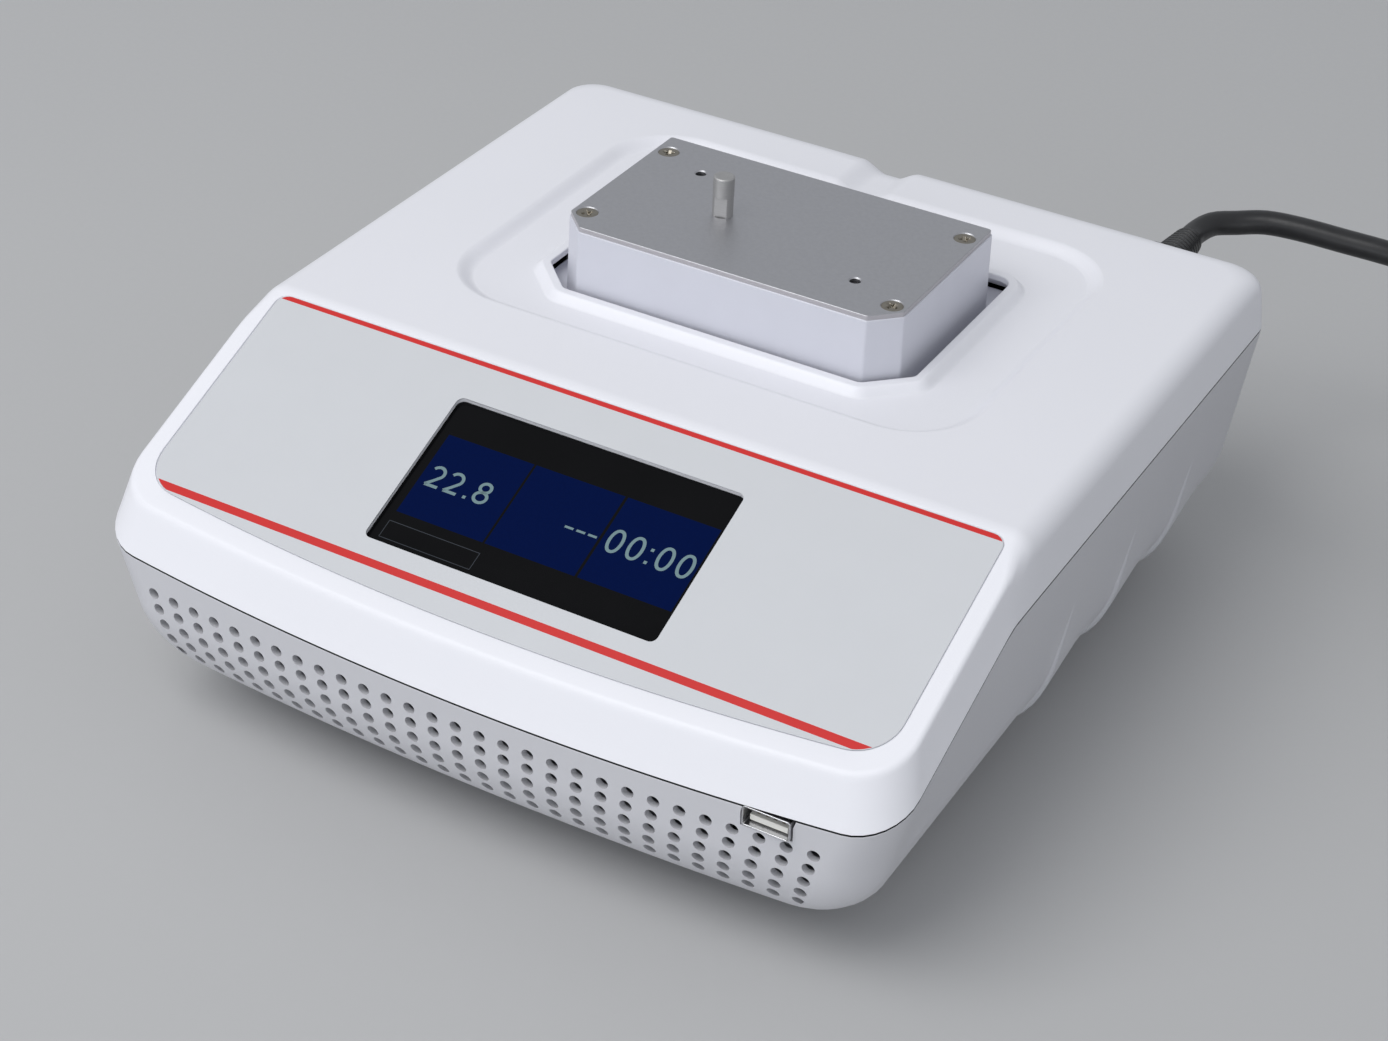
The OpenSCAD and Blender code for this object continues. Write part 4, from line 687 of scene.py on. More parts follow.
def notched(edge, cut):
    """The border with the run along its seam, between the ends of cut, led along cut."""
    (lo, _), (hi, _) = cut[0], cut[-1]
    loop = []
    for x, y in edge:
        on_seam = abs(y) < 1e-9
        if on_seam and lo < x < hi:
            continue
        if on_seam and x <= lo and loop[-1][0] >= hi:
            loop += [tuple(p) for p in cut[::-1]]
        loop.append((x, y))
    return loop


def free_points(us, vs, loops=(), margin=0.0):
    """Inner stations in patch coordinates, with a margin round the boxes of the loops."""
    g = np.array([(u * 100, v * 25) for u in us[1:-1] for v in vs[1:-1]])
    keep = np.ones(len(g), bool)
    for h in loops:
        keep &= ((g < h.min(0) - margin) | (g > h.max(0) + margin)).any(1)
    return g[keep]


def gill_y(i, z):
    """Where the crest of gill i stands at height z."""
    return DRIVE_Y - 41 + GILL_PITCH * i - (GILL_TOP - z) * GILL_LEAN


def gill(y, z):
    """How far the three gills stand out of the side wall."""
    out = np.zeros_like(y)
    for i in range(3):
        d = y - gill_y(i, z)
        s = 2.2 * np.clip(np.minimum((GILL_TOP - z) / 36.2, (z - FLOOR) / 15.3), 0, 1)
        tail = s - d * (s + 1.2) / 44
        out = np.maximum(out, np.where(d < 0, s * smooth((d + 0.9) / 0.9), np.maximum(tail, 0)) * (z < GILL_TOP))
    return out


def gilled_side(a, b):
    p = side_low(a, b)
    p[..., 0] += gill(p[..., 1], p[..., 2])
    return p


def both_sides(skin, pts, normals, faces):
    """Adds a piece of surface and its mirror image across x = 0."""
    for side in (1, MIRROR):
        skin.add(pts * side, normals * side, faces)


def sheet_of(fn, us, vs, side):
    """Points of fn over a grid of stations, and normals on that side."""
    u, v = np.meshgrid(us, vs)
    p = fn(u, v)
    e, v = 1e-3, np.minimum(v, 1.995)
    return p, np.cross(fn(u + e, v) - fn(u - e, v), fn(u, v - e) - fn(u, v + e)) * side


def add_sheet(skin, fn, us, vs, side, mirrored, keep=None):
    p, n = sheet_of(fn, us, vs, side)
    c = len(us)
    faces = [(i * c + j, i * c + j + 1, (i + 1) * c + j + 1, (i + 1) * c + j)
             for i in range(len(vs) - 1) for j in range(c - 1) if keep is None or keep(i, p[i:i + 2, j:j + 2])]
    (both_sides if mirrored else Skin.add)(skin, p.reshape(-1, 3), n.reshape(-1, 3), faces)


def outline_of(surfaces, stations):
    """The shell's closed outline at v = 2, right round."""
    right = [[fn(np.array(u), np.array(2.0)) for u in us] for fn, us in zip(surfaces, stations)]
    left = right[3][::-1][1:] + right[2][::-1][1:] + right[1][::-1][1:-1]
    return np.array(right[0] + sum((r[1:] for r in right[1:]), []) + [p * MIRROR for p in left])


def seam_edges(skin, surfaces, stations, fronts, side):
    """The rounded free edge and the wall thickness all round. fronts holds the front's runs of stations; the back
    is open at the window. side is +1 where the shell lies below the edge."""
    runs = [(surfaces[0], us, (1,)) for us in fronts]
    runs += [(surfaces[k], stations[k], (1, MIRROR)) for k in (1, 2, 3)]
    runs += [(surfaces[4], np.linspace(*ends, 4), (1,)) for ends in ((0, WIN_U[0]), (WIN_U[1], 2))]
    up, r = np.array(UP) * side, 0.15
    for fn, us, mirrors in runs:
        edge, normals = sheet_of(fn, us, np.array([0.0]), side)
        for mirror in mirrors:
            pts, out = edge[0] * mirror, unit(normals[0] * mirror * (1, 1, 0))
            rows = [pts - out * r * (1 - c) + up * r * s for c, s in TURN]
            skin.grid(rows, [out * c + up * s for c, s in TURN], closed=False)
            # the land across the wall and the inner wall take finish 1, a near-black that paints the shade in the seam
            # gap and inside the shell
            rows = [rows[-1], pts - out * WALL + up * r, pts - out * WALL - up * 6]
            skin.grid(rows, [out * 0 + up, out * 0 + up, -out], 1, closed=False)


def window_walls(skin, z_open, z_end):
    """The shell's thickness round the rear window, which runs from the seam to z_end."""
    w = np.array([(WIN_X0, BY, z_open), (WIN_X0, BY, z_end), (WIN_X1, BY, z_end), (WIN_X1, BY, z_open)])
    for a, b, n in zip(w, w[1:], ((1, 0, 0), (0, 0, np.sign(z_open - z_end)), (-1, 0, 0))):
        skin.cap([a, b, b - (0, WALL, 0), a - (0, WALL, 0)], n)

# ---------- lower shell ----------

HOLE_R, HOLE_PITCH, HOLE_ROW, HOLE_TOP = 1.9, 7.75, 5.25, FLOOR + 38.5
NOTCH_X0, NOTCH_X1, NOTCH_Z0, NOTCH_Z1 = 87.5, 102.5, 48.7, 58.0
WELLS = [arc(x, y, 3.3, 0, 345, 23) for x in (-84, 84) for y in (FY + 42.5, BY - 47.5)]
WELL_TOP = 42.0


@piece("housing", "housing_lower", "grey_shell inside_black", "lower_housing")
def lower_shell(s):
    # front wall with the perforations and the notch for the USB socket
    centres = [(col * HOLE_PITCH * (1 - 0.012 * row), HOLE_TOP - row * HOLE_ROW)
               for row in range(5) for col in range(-14, 15)]
    ring = circle(0, 0, HOLE_R, 16)
    holes = [invert(front_low, [0, 2], np.array(c) + ring, (c[0] / 1.15, 20)) for c in centres]
    down, across = np.linspace(NOTCH_Z1, NOTCH_Z0, 5), np.linspace(NOTCH_X0, NOTCH_X1, 5)
    notch = ([(NOTCH_X0, z) for z in down] + [(x, NOTCH_Z0) for x in across][1:]
             + [(NOTCH_X1, z) for z in down[::-1]][1:])
    notch = invert(front_low, [0, 2], notch, (80, 5))
    notch = notch[notch[:, 1] > 1e-6]
    n0, n1 = notch[0, 0], notch[-1, 0]
    notch = np.vstack([[(n0, 0)], notch, [(n1, 0)]])
    v, f = triangulate(notched(border(UF, VL), notch), points=free_points(UF, VL, holes + [notch], 1.2), holes=holes)
    s.add(*lift(front_low, v, -1, 0.02), f)
    # side walls with the gills
    lines = []
    for i in range(3):
        zs = np.linspace(58.6, 12.4, 16)
        for dy in (-0.9, -0.45, 0.0, 0.5, 10):
            q = invert(side_low, [1, 2], np.c_[gill_y(i, zs) + dy, zs], (50, 20))
            lines.append(q[(q[:, 0] > 1) & (q[:, 0] < 99) & (q[:, 1] < 49)])
    v, f = triangulate(border(US, VL), lines=lines, points=free_points(US, VL))
    p, n = lift(gilled_side, v, -1, 0.05)
    both_sides(s, p, n * np.sign(n[:, :1]), f)
    for seg in (1, 3):
        add_sheet(s, LOWER[seg], UC, VL, 1, True)
    # back wall with the window for the panel
    foot = invert(back_low, [0, 2], [(WIN_X1, WIN_Z0), (WIN_X0, WIN_Z0)], (20, 5))
    window = np.array([(100 * WIN_U[0], 0), *foot, (100 * WIN_U[1], 0)])
    v, f = triangulate(notched(border(UB, VL), window), points=free_points(UB, VL, [window], 0.5))
    s.add(*lift(back_low, v, -1, 0.02), f)
    # underside
    v, f = triangulate(outline_of(LOWER, (UF, UC, US, UC, UB))[:, :2], holes=WELLS)
    s.add(at_z(v, FLOOR), np.tile(DOWN, (len(v), 1)), f)
    s.weld()
    # hole walls, wells and seam edges have their own points, so that their rims stay crisp
    for h in holes:
        o = front_low(h[:, 0], h[:, 1])
        s.grid([o, o + (0, 2.2, 0)], (o.mean(0) - o) * (1, 0, 1))
    for w in WELLS:
        s.grid([at_z(w, FLOOR), at_z(w, WELL_TOP)], at_z(w.mean(0) - w, 0))
    o = front_low(notch[:, 0], notch[:, 1])
    s.grid([o, o + (0, 3.0, 0)], np.cross(np.gradient(o, axis=0), REAR), closed=False)
    n0, n1 = n0 / 100, n1 / 100
    seam_edges(s, LOWER, (UF, UC, US, UC), (np.append(UF[UF <= n0], n0), np.append(n1, UF[UF >= n1])), 1)
    window_walls(s, 84.95, WIN_Z0)

# ---------- upper shell ----------

FILM_HW, FILM_TOP, FILM_H, FILM_R, FILM_BOW = 120.5, 2.4, 82.6, 13.0, 1000.0
DISP_W, DISP_H, DISP_MID = 95.0, 53.3, 43.15
OPEN_Y0 = DRIVE_Y - 37.4
LIP_R = 0.45


def film_outline(g):
    """Outline of the film on the slope: x, and the distance down the slope as a negative number."""
    hx, y1 = FILM_HW + g, -FILM_TOP + g
    y0 = y1 - FILM_H - 2 * g
    rb, rt, k = FILM_R + g, 4 + g, FILM_BOW - FILM_R - g
    beta = math.asin((hx - rb) / k)
    yc = y0 + FILM_BOW - k * cos(beta)
    bd = math.degrees(beta)
    return np.concatenate([
        arc(0, y0 + FILM_BOW, FILM_BOW, -90 - bd, -90 + bd, 24)[:-1], arc(hx - rb, yc, rb, -90 + bd, 0, 10),
        arc(hx - rt, y1 - rt, rt, 0, 90, 6), arc(-hx + rt, y1 - rt, rt, 90, 180, 6),
        arc(-hx + rb, yc, rb, 180, 270 - bd, 10)[:-1]])


def screen_outline(w, h, r, n):
    """A rectangle round the middle of the display, on the slope."""
    return rounded(-w / 2, w / 2, -DISP_MID - h / 2, -DISP_MID + h / 2, r, n)


def to_plan(p):
    return np.c_[p[:, 0], SHOULDER + p[:, 1] * cos(SLOPE)]


def opening(g):
    """Outline of the opening grown by g, its front chamfers blended in."""
    hx, y0, y1, c, r, q = 63.0 + g, OPEN_Y0 - g, OPEN_Y0 + 82.2 + g, 12.2 + g * 0.586, 5 + g, 3 + g
    t = q * tan(rad(22.5))
    right = [arc(hx - c - t, y0 + q, q, -90, -45, 4), arc(hx - q, y0 + c + t, q, -45, 0, 4),
             arc(hx - r, y1 - r, r, 0, 90, 8)]
    return np.concatenate(right + [(p * (-1, 1))[::-1] for p in right[::-1]])


def dense(loop, step=9):
    """The same outline with points no further apart than step."""
    out = []
    for a, b in zip(loop, np.roll(loop, -1, 0)):
        n = max(1, int(math.ceil(np.linalg.norm(b - a) / step)))
        out += [a + (b - a) * k / n for k in range(n)]
    return np.array(out)


OPEN0, FILM0 = opening(0), to_plan(film_outline(0.15))


def recess_distance(x, y):
    """Distance from the outline of the recess, negative inside it."""
    qx = np.abs(x - (REC[0] + REC[1]) / 2) - ((REC[1] - REC[0]) / 2 - REC_R)
    qy = np.abs(y - (REC[2] + REC[3]) / 2) - ((REC[3] - REC[2]) / 2 - REC_R)
    return np.minimum(np.maximum(qx, qy), 0) + np.hypot(np.maximum(qx, 0), np.maximum(qy, 0)) - REC_R


def top(x, y):
    """The upper shell's top surface: the roof with its recess, channel, lip and bed for the film."""
    x, y = np.broadcast_arrays(np.asarray(x, float), np.asarray(y, float))
    p = np.c_[x.ravel(), y.ravel()]
    sunk = smooth((-recess_distance(x, y) - 0.1) / 5.6)
    depth = REC_DEEP * sunk + channel(x, y) * (1 - sunk)
    d = np.where(inside(OPEN0, p), 0, segment_distance(OPEN0, p)).reshape(x.shape)
    depth = depth * smooth((d - 2.4) / 3.4)
    e = np.clip(d / LIP_R, 0, 1)
    depth = depth + LIP_R * (1 - np.sqrt(np.maximum(1 - (1 - e) ** 2, 0)))
    near = (y < SHOULDER - 1) & (y > FY + 5)
    if near.any():
        q = p[near.ravel()]
        f = segment_distance(FILM0, q)
        depth[near] += 0.6 / cos(SLOPE) * smooth((np.where(inside(FILM0, q), f, -f) + 0.28) / 0.28)
    return roof(y) - depth


def top_point(a, b):
    return np.stack([a, b, top(a, b)], -1)


def top_lines(stations, across, y_back):
    """Lines that the mesh of the top follows: the bend, the film's edge, the recess, the lip and the channel."""
    lines = [[(-HW, y), (HW, y)] for y in stations]
    loops = [to_plan(film_outline(g)) for g in (0.47, 0.4, 0.33, 0.27, 0.21, 0.15, 0.05)]
    loops += [rounded(REC[0] + g, REC[1] - g, REC[2] + g, REC[3] - g, REC_R - g, 14)
              for g in (-0.5, 0.1, 0.6, 1.2, 1.9, 2.6, 3.3, 4, 4.7, 5.3, 5.7, 6.2)]
    loops += [dense(opening(g))
              for g in (0.03, 0.08, 0.16, 0.28, 0.45, 2.4, 2.9, 3.4, 3.9, 4.4, 4.9, 5.4, 5.8, 6.6)]
    lines += [np.vstack([loop, loop[:1]]) for loop in loops]
    return lines + [[(x, REC[3] - 8), (x, y_back)] for x in across]


@piece("housing", "housing_upper", "white_shell inside_black", "upper_housing")
def upper_shell(s):
    vu = np.concatenate([[0, 0.5], np.linspace(1, 2, 11)])
    bends = SHOULDER + BEND_RUN - BEND_R * np.sin(np.linspace(0, SLOPE, 11))
    ys = np.unique(np.round(np.concatenate([np.linspace(-100, 110, 22), bends, [BEND - 3, BEND, BEND + 3]]), 4))
    us = np.unique(np.concatenate([[0, 0.05], 0.1 + 0.8 * (ys + 100) / 210, [0.95, 1]]))
    across = [k * q + CHANNEL_X for k in (-1, 1) for q in (2.5, 3.4, 4.4, 5.5, 6.7, 8, 9.3, 10.3, CHANNEL_HALF)]
    xs = np.unique(np.concatenate([np.linspace(-120, 120, 17), [WIN_X0, WIN_X1], across]))
    ub = 1 - xs[::-1] / BACK_HALF
    vb = np.unique(np.append(vu, (WIN_Z1 - 85.8) / (TOP - RIM - 85.8)))

    def solid(i, quad):
        x, _, z = quad.mean((0, 1))
        return not (WIN_X0 < x < WIN_X1 and z < WIN_Z1 and vb[i] < 1)

    stations = (UF, UC, us, UC, ub)
    for seg in range(4):
        add_sheet(s, UPPER[seg], stations[seg], vu, -1, seg > 0)
    add_sheet(s, UPPER[4], ub, vb, -1, False, solid)
    ring = outline_of(UPPER, stations)
    window = to_plan(screen_outline(DISP_W + 0.4, DISP_H + 0.4, 2.4, 6))
    hole = dense(OPEN0)
    v, f = triangulate(ring[:, :2], lines=top_lines(bends, across, ring[:, 1].max()), holes=[hole, window])
    s.add(*lift(top_point, v, 1, 0.03), f)
    s.weld()
    # wall of the opening and the lip under it
    inward = at_z(-loop_normals(hole), 0)
    s.grid([top_point(hole[:, 0], hole[:, 1]), at_z(hole, 103.0)], inward)
    under = [at_z(offset(hole, g), z) for g, z in ((0, 103), (1.5, 103), (4, 99.2), (14, 99.2))]
    for a, tilt in enumerate((0, 1.5, 0)):
        s.grid(under[a:a + 2], inward * tilt + DOWN)
    # edge of the display's window
    edge = top_point(window[:, 0], window[:, 1])
    down = np.array([0, sin(SLOPE), -cos(SLOPE)]) * 1.6
    s.grid([edge, edge + down], np.cross(-down, along_loop(edge)))
    seam_edges(s, UPPER, stations, (UF,), -1)
    window_walls(s, 85.5, WIN_Z1)

# ---------- control film ----------

FILM_Z, FILM_T, FILM_EDGE = -0.1, 0.5, 0.18
RED_BANDS = [(-4.2, -2.45), (-78.35, -75.8)]


def turn_to_slope(p):
    p = np.asarray(p, float)
    c, s = cos(SLOPE), sin(SLOPE)
    return np.stack([p[..., 0], p[..., 1] * c - p[..., 2] * s, p[..., 1] * s + p[..., 2] * c], -1)


def on_slope(p):
    """Places points given as x, distance up the slope (negative is down) and height off the slope."""
    return turn_to_slope(p) + (0, SHOULDER, TOP)


SLOPE_UP = turn_to_slope(UP)


@piece("housing", "overlay", "film red_ink", "control_overlay")
def control_film(s):
    """The printed film: two red lines, the window, and a fine rounded edge."""
    window = screen_outline(DISP_W, DISP_H, 2.2, 6)
    outline, r = film_outline(-FILM_EDGE), FILM_EDGE
    lines = [[(-140, y), (140, y)] for band in RED_BANDS for y in band]
    v, f = triangulate(outline, lines=lines, holes=[window])
    red = [int(any(y0 < y < y1 for y0, y1 in RED_BANDS)) for y in v[f].mean(1)[:, 1]]
    s.add(on_slope(at_z(v, FILM_Z)), [SLOPE_UP] * len(v), f, red)
    full = film_outline(0.0)
    out = unit(full - film_outline(-0.3))
    rows = [at_z(outline + out * r * b, FILM_Z - r * (1 - a)) for a, b in TURN] + [at_z(full, FILM_Z - FILM_T)]
    s.grid(on_slope(rows), turn_to_slope([at_z(out * b, a) for a, b in TURN] + [at_z(out, 0)]))
    s.grid(on_slope([at_z(window, FILM_Z), at_z(window, FILM_Z - FILM_T)]),
           turn_to_slope(at_z(window.mean(0) - window, 0)))

# ---------- display ----------

GLASS_Z, GLASS_T = -1.7, 1.1
FIELDS = [(-44.0, -14.95), (-14.2, 15.2), (16.1, 46.0)]
FIELD_Y0, FIELD_Y1 = -58.1, -28.8
# sign: x of each, their y, width and height
READOUT = {"2": ((-39.4, -33.1), -43.3, 4.3, 6.7), ".": ((-28.2,), -43.3, 1.0, 6.4),
           "8": ((-23.7,), -43.3, 4.0, 6.7), "-": ((5.6, 9.4, 13.2), -44.3, 2.8, 0),
           "0": ((20.2, 26.7, 36.1, 42.6), -43.4, 3.9, 7.2), ":": ((31.4,), -43.4, 1.0, 7.2)}
FRAME = [(-44.0, -67.5), (-13.6, -67.5), (-13.6, -61.6), (-44.0, -61.6), (-44.0, -67.5)]


@piece("housing", "display", "cover_glass screen_blue", "touch_glass")
def touch_screen(s):
    """Cover glass with the lit panel behind it: three blue fields."""
    out = screen_outline(105.0, 67.0, 1.5, 5)
    lines = [[(x, FIELD_Y0), (x, FIELD_Y1)] for field in FIELDS for x in field]
    v, f = triangulate(out, lines=lines + [[(-60, y), (60, y)] for y in (FIELD_Y0, FIELD_Y1)])
    blue = [int(FIELD_Y0 < y < FIELD_Y1 and any(x0 < x < x1 for x0, x1 in FIELDS)) for x, y in v[f].mean(1)]
    s.add(on_slope(at_z(v, GLASS_Z)), [SLOPE_UP] * len(v), f, blue)
    s.grid(on_slope([at_z(out, GLASS_Z), at_z(out, GLASS_Z - GLASS_T)]), turn_to_slope(at_z(loop_normals(out), 0)))


def ribbon(skin, pts, width, mat, closed=False):
    """A flat stroke along points of the slope, just over the glass."""
    p = np.asarray(pts, float)
    d = unit(along_loop(p) if closed else np.gradient(p, axis=0)) * width / 2
    side = np.c_[-d[:, 1], d[:, 0]]
    skin.grid(on_slope([at_z(p + side, GLASS_Z + 0.012), at_z(p - side, GLASS_Z + 0.012)]), SLOPE_UP, mat, closed)


def strokes(sign, w, h):
    """Strokes of a numeral w wide and h high about the origin: points, and whether they close."""
    x, y = w / 2, h / 2
    if sign == "0":
        c = circle(0, 0, 1, 40)
        return [(np.c_[np.sign(c[:, 0]) * np.abs(c[:, 0]) ** 0.85 * x, c[:, 1] * y], True)]
    if sign == "8":
        c = circle(0, 0, 1, 32)
        return [(c * (x * 0.86, h * 0.235) + (0, y - h * 0.235), True), (c * (x, h * 0.265) + (0, h * 0.265 - y), True)]
    if sign == "2":
        r, end = x * 0.92, np.array([-x, -y])
        hook = arc(-0.04 * w, y - r * 1.02, r, 152, -32, 16)
        return [(np.vstack([hook, hook[-1] * 0.45 + end * 0.55 + (0.12, 0), end]), False), ([(-x, -y), (x, -y)], False)]
    heights = {"-": (0,), ".": (-y,), ":": (-y * 0.86, y * 0.36)}[sign]
    return [([(-x, d), (x, d)], False) for d in heights]


@piece("housing", "display", "screen_digits screen_faint")
def readout(s):
    """Plain numbers, and a faint frame at the foot of the screen."""
    for sign, (xs, y, w, h) in READOUT.items():
        for x in xs:
            for pts, closed in strokes(sign, w, h):
                ribbon(s, np.array(pts) + (x, y), 0.75 if sign == "-" else 1.0, 0, closed)
    for line in zip(FRAME, FRAME[1:]):
        ribbon(s, line, 0.22, 1)

# ---------- block platform ----------

BLOCK_X, BLOCK_Y, PLATE_Z, PLATE_RIM = 1.5, DRIVE_Y, 125.5, 1.5
SCREWS = [(sx * 51.9, sy * 24.8) for sx in (-1, 1) for sy in (-1, 1)]
THREADS = [(-36.05, 17.45), (36.05, -17.45)]
THREAD_R, THREAD_LEAD = 1.65, 0.4
PIN_X, PIN_Y, PIN_R, PIN_HOLE = -17.0, -2.7, 3.3, 3.2
SINK_R, SHANK_BORE = 3.6, 2.05


def block_outline(g, r):
    hx, hy, c = 57.0 - g, 35.0 - g, 8.2 - g / 2
    return fillet([(-hx + c, -hy), (hx - c, -hy), (hx, -hy + c), (hx, hy), (-hx, hy), (-hx, -hy + c)], r)


def at_block(p):
    return np.asarray(p, float) + (BLOCK_X, BLOCK_Y, 0)


@piece("platform", "plate", "plate_finish machined_edge plate_side dark_steel", "top_plate")
def block_plate(s):
    edge, z1, z0 = 0.14, PLATE_Z, PLATE_Z - PLATE_RIM
    o1, o0 = block_outline(0.4 + edge, 0.9), block_outline(0.4, 1.1)
    holes = ([(*p, SINK_R) for p in SCREWS] + [(*p, THREAD_R + THREAD_LEAD) for p in THREADS]
             + [(PIN_X, PIN_Y, PIN_HOLE)])
    for outline, bores, z, n in ((o1, holes, z1, UP), (o0, [], z0, DOWN)):
        v, f = triangulate(outline, holes=[circle(*h) for h in bores])
        s.add(at_block(at_z(v, z)), [n] * len(v), f)
    # bright machined edge, then the side
    out = loop_normals(o0)
    s.grid(at_block([at_z(o1, z1), at_z(o0, z1 - edge)]), at_z(out, 1), 1)
    s.grid(at_block([at_z(o0, z1 - edge), at_z(o0, z0)]), at_z(out, 0), 2)
    bore = partial(lathe, s, side=-1)
    for x, y in SCREWS:
        bore(x + BLOCK_X, y + BLOCK_Y, [(SINK_R, z1), (SHANK_BORE, z1 - SHANK_BORE), (SHANK_BORE, z1 - 3)])
    for x, y in THREADS:
        turns = [(THREAD_R + (0.22 if k % 2 else 0), z1 - THREAD_LEAD - 0.35 * k) for k in range(18)]
        bore(x + BLOCK_X, y + BLOCK_Y, [(THREAD_R + THREAD_LEAD, z1), turns[0]], 1)
        # the threaded walls take finish 3, a near-black that paints the shade deep in the holes
        bore(x + BLOCK_X, y + BLOCK_Y, turns, 3)
    bore(PIN_X + BLOCK_X, PIN_Y + BLOCK_Y, [(PIN_HOLE, z1), (PIN_HOLE, z1 - 1), (0, z1 - 1)])


@piece("platform", "skirt", "skirt_paint", "platform_skirt")
def block_skirt(s):
    prism(s, block_outline(0, 1.3), 95.0, PLATE_Z - PLATE_RIM, 0.35, [(block_outline(3.0, 0.6), 0.1)],
          place=at_block, draft=0.6)
    prism(s, rounded(-67, 67, -47.2, 47.2, 8, 8), 97.2, 98.7, 0.3, [(block_outline(1, 1), 0.1)], place=at_block)


def screw_height(x, y):
    """Relief of a screw's head: a cross recess whose four wings narrow and rise, and the rounded rim."""
    a, b = np.maximum(np.abs(x), np.abs(y)), np.minimum(np.abs(x), np.abs(y))
    floor = 1.15 * (1 - smooth((a - 0.5) / 1.7))
    half = 0.5 + 0.25 * np.clip(1 - a / 0.9, 0, 1)
    return -floor * (1 - smooth((b - half) / 0.22)) - 0.14 * smooth((np.hypot(x, y) - 3.1) / 0.3)


@piece("platform", "steel", "screw_steel", "plate_screws")
def block_screws(s):
    """Countersunk cross-head screws, each turned its own way."""
    r_head, r_shank, face, e = 3.4, 1.9, PLATE_Z - 0.2, 0.02
    radii = np.concatenate([np.linspace(0, 2.4, 25), [2.7, 3.05, 3.2, 3.28, 3.34, 3.38, r_head]])
    g = radii[:, None, None] * circle(0, 0, 1, 96)
    x, y = g[..., 0], g[..., 1]
    p = np.stack([x, y, screw_height(x, y)], -1)
    n = np.stack([(screw_height(x - e, y) - screw_height(x + e, y)) / (2 * e),
                  (screw_height(x, y - e) - screw_height(x, y + e)) / (2 * e), np.ones_like(x)], -1)
    for (sx, sy), turn in zip(SCREWS, (0.9, 0.25, 1.2, 0.55)):
        rot = np.array([[cos(turn), sin(turn), 0], [-sin(turn), cos(turn), 0], UP])
        sx, sy = sx + BLOCK_X, sy + BLOCK_Y
        s.grid(p @ rot + (sx, sy, face), n @ rot)
        lathe(s, sx, sy, [(r_head, face - 0.14), (r_shank, face - 2), (r_shank, face - 9.8), (0, face - 9.8)], n=96)


@piece("platform", "steel", "pin_steel", "locating_pin")
def guide_pin(s):
    """The locating pin: round above, two flats on its lower half."""
    x, y, n, flat, turn = PIN_X + BLOCK_X, PIN_Y + BLOCK_Y, 72, 2.56, rad(12)
    z_top, mid, foot = PLATE_Z + 13, PLATE_Z + 6.5, PLATE_Z - 1
    c = circle(0, 0, 1, n)
    rows, normals = [at_z(c * 0, z_top)], [np.tile(UP, (n, 1))]
    for a in np.linspace(math.pi / 2, 0, 5):
        rows.append(at_z(c * (PIN_R - 0.6 * (1 - cos(a))), z_top - 0.6 * (1 - sin(a))))
        normals.append(at_z(c * cos(a), sin(a)))
    rows.append(at_z(c * PIN_R, mid))
    normals.append(at_z(c, 0))
    s.grid(np.array(rows) + (x, y, 0), normals)
    neck = c * (PIN_R - 0.06)
    neck[:, 1] = np.clip(neck[:, 1], -flat, flat)
    out = np.c_[np.where(np.abs(neck[:, 1]) > flat - 1e-6, 0, c[:, 0]), c[:, 1]]
    rot = np.array([[cos(turn), sin(turn)], [-sin(turn), cos(turn)]])
    neck, out = neck @ rot, out @ rot
    s.grid(np.array([at_z(c * PIN_R, mid), at_z(neck, mid)]) + (x, y, 0), DOWN)
    s.grid(np.array([at_z(neck, mid), at_z(neck, foot)]) + (x, y, 0), at_z(out, 0))

# ---------- USB port ----------

USB_W, USB_H = 14.4, 6.6
USB_X = HW - 35
USB_Y = FY + USB_X ** 2 / (2 * BOW) - 0.3
USB_Z = seam(USB_Y) - USB_H / 2 - 0.2


@piece("housing", "steel", "bright_metal usb_tongue brass inside_black", "usb_port")
def usb_socket(s):
    """The socket's bent sheet shell, with the tongue and its four contacts inside."""
    w, h, y, back = USB_W / 2, USB_H / 2, USB_Y + 2, USB_Y + 16
    lip = ((0, back), (0, USB_Y + 0.15), (0.12, USB_Y), (0.38, USB_Y), (0.5, USB_Y + 0.15), (0.5, back - 2))
    rows = [upright(USB_X, USB_Z, w - g, h - g, 0.9 - g * 0.8, at) for g, at in lip]
    d = along_loop(rows[0])
    out, front = unit(np.c_[d[:, 2], d[:, 1], -d[:, 0]]), np.array(FRONT)
    s.grid(rows, [out, out, out + front * 2, front * 2 - out, -out, -out])
    x0, x1, z0, z1 = USB_X - w + 1.6, USB_X + w - 1.6, USB_Z - h + 1.1, USB_Z - h + 2.9
    corners = [(x0, z0), (x1, z0), (x1, z1), (x0, z1)]
    s.cap([(p, y, z) for p, z in corners], FRONT, 1)
    for (p0, q0), (p1, q1) in zip(corners, corners[1:] + corners[:1]):
        s.cap([(p0, y, q0), (p0, back - 2, q0), (p1, back - 2, q1), (p1, y, q1)], (q1 - q0, 0, p0 - p1), 1)
    z1 += 0.03
    for x in (USB_X - 3.75 + 2.5 * k for k in range(4)):
        s.cap([(x - 0.5, y + 1.2, z1), (x + 0.5, y + 1.2, z1), (x + 0.5, y + 8, z1), (x - 0.5, y + 8, z1)], UP, 2)
    # a near-black card across the back of the socket paints the shade inside it
    w, h = w - 0.5, h - 0.5
    s.cap([(USB_X + a * w, back - 2, USB_Z + b * h) for a, b in ((-1, -1), (1, -1), (1, 1), (-1, 1))], FRONT, 3)

# ---------- the back ----------


def on_back(p):
    """Lays a shape on the rear panel: x to the left, y up, z out of the back."""
    return np.stack([-p[..., 0], BY - WALL + p[..., 2], 76 + p[..., 1]], -1)


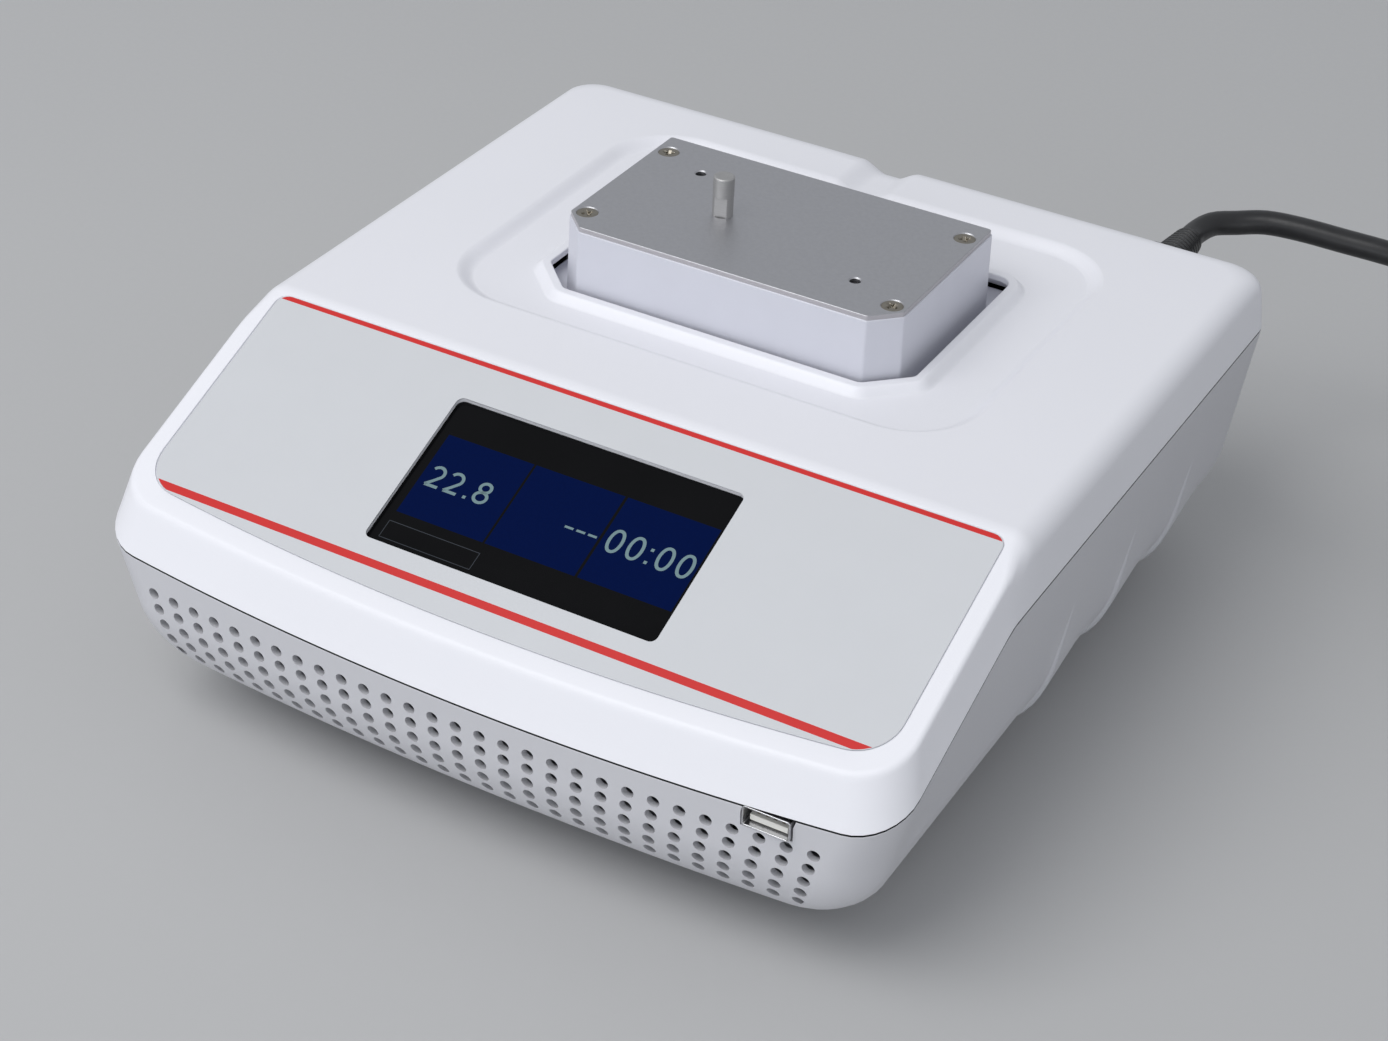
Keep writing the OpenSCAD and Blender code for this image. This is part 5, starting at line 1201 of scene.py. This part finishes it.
@piece("housing", "steel", "bright_metal black_plastic brass", "serial_port")
def serial_socket(s):
    """The nine-way socket: flange, studs, D-shaped rim, and the dark face with its contacts."""
    block = partial(prism, s, place=on_back)
    rim, bore = (fillet([(-a, -h), (a, -h), (b, h), (-b, h)], 1.5) for a, b, h in ((7.7, 9.0, 4.7), (7.1, 8.3, 4.1)))
    block(rounded(-15.4, 15.4, -6.2, 6.2, 1.5, 5), 0.0, 0.8, 0.12)
    block(rim, 0.7, 2.3, 0.25, [(bore, 0.1)])
    block(bore, 0.7, 1.7, 0.1, mat=1)
    for y, count in ((1.42, 5), (-1.42, 4)):
        for x in ((k - (count - 1) / 2) * 2.77 for k in range(count)):
            block(circle(x, y, 0.62, 14), 1.6, 1.82, 0.08, [(circle(x, y, 0.34, 14), 0.02)], 2)
    for x in (-12.4, 12.4):
        block(circle(x, 0, 2.7, 6), 0.7, 2.2, 0.15, [(circle(x, 0, 1.2, 20), 0.2)])
        block(circle(x, 0, 1.3, 20), 0.7, 1.0, 0.02, mat=1)


@piece("housing", "steel", "screw_steel inside_black")
def fan_screws(s):
    """Four socket-head screws at the corners of the fan."""
    for x in (42.0, 82.0):
        for y in (-27.55, 12.45):
            prism(s, circle(x, y, 2.8, 28), 0.0, 1.6, 0.6, [(circle(x, y, 1.2, 6), 0.06)], place=on_back)
            # the floor of each hex socket is near-black: painted shade in the socket
            prism(s, circle(x, y, 1.3, 6), 0.0, 0.5, 0.02, mat=1, place=on_back)

# ---------- stage ----------


def area_light(name, place, aim, size, power):
    data = bpy.data.lights.new(name, "AREA")
    data.shape, data.energy = "RECTANGLE", power
    data.size, data.size_y = size
    light = add_object(name, data)
    light.location = place
    light.rotation_euler = (Vector(aim) - Vector(place)).to_track_quat("-Z", "Y").to_euler()


def make_world():
    """An even sky with a broad soft glow low in front."""
    world = bpy.data.worlds.new("world")
    bpy.context.scene.world = world
    world.use_nodes = True
    tree = world.node_tree
    sky = tree.nodes["Background"]
    sky.inputs["Color"].default_value = (0.92, 0.95, 1.0, 1)
    direction = node(tree, "SeparateXYZ")
    tree.links.new(node(tree, "TexCoord").outputs["Generated"], direction.inputs[0])
    glow = node(tree, "Math")
    glow.operation = "MULTIPLY_ADD"
    glow.inputs[2].default_value = 0.52
    for k, (axis, first, last, most) in enumerate((("Y", -0.4, -0.95, 1.0), ("Z", 0.5, 0.08, 1.45))):
        ramp = node(tree, "MapRange", From_Min=first, From_Max=last, To_Min=0.0, To_Max=most)
        ramp.interpolation_type = "SMOOTHSTEP"
        tree.links.new(direction.outputs[axis], ramp.inputs["Value"])
        tree.links.new(ramp.outputs["Result"], glow.inputs[k])
    tree.links.new(glow.outputs[0], sky.inputs["Strength"])


def stage():
    me = bpy.data.meshes.new("floor")
    me.from_pydata([(-4, -4, 0), (4, -4, 0), (4, 4, 0), (-4, 4, 0)], [], [(0, 1, 2, 3)])
    me.materials.append(MAT["floor"])
    floor = add_object("floor", me)
    make_world()
    area_light("key", (-0.5, -1.0, 1.8), (0, 0, 0.05), (1.5, 1.4), 21.5)
    bpy.context.scene.view_settings.view_transform = "Standard"


stage()
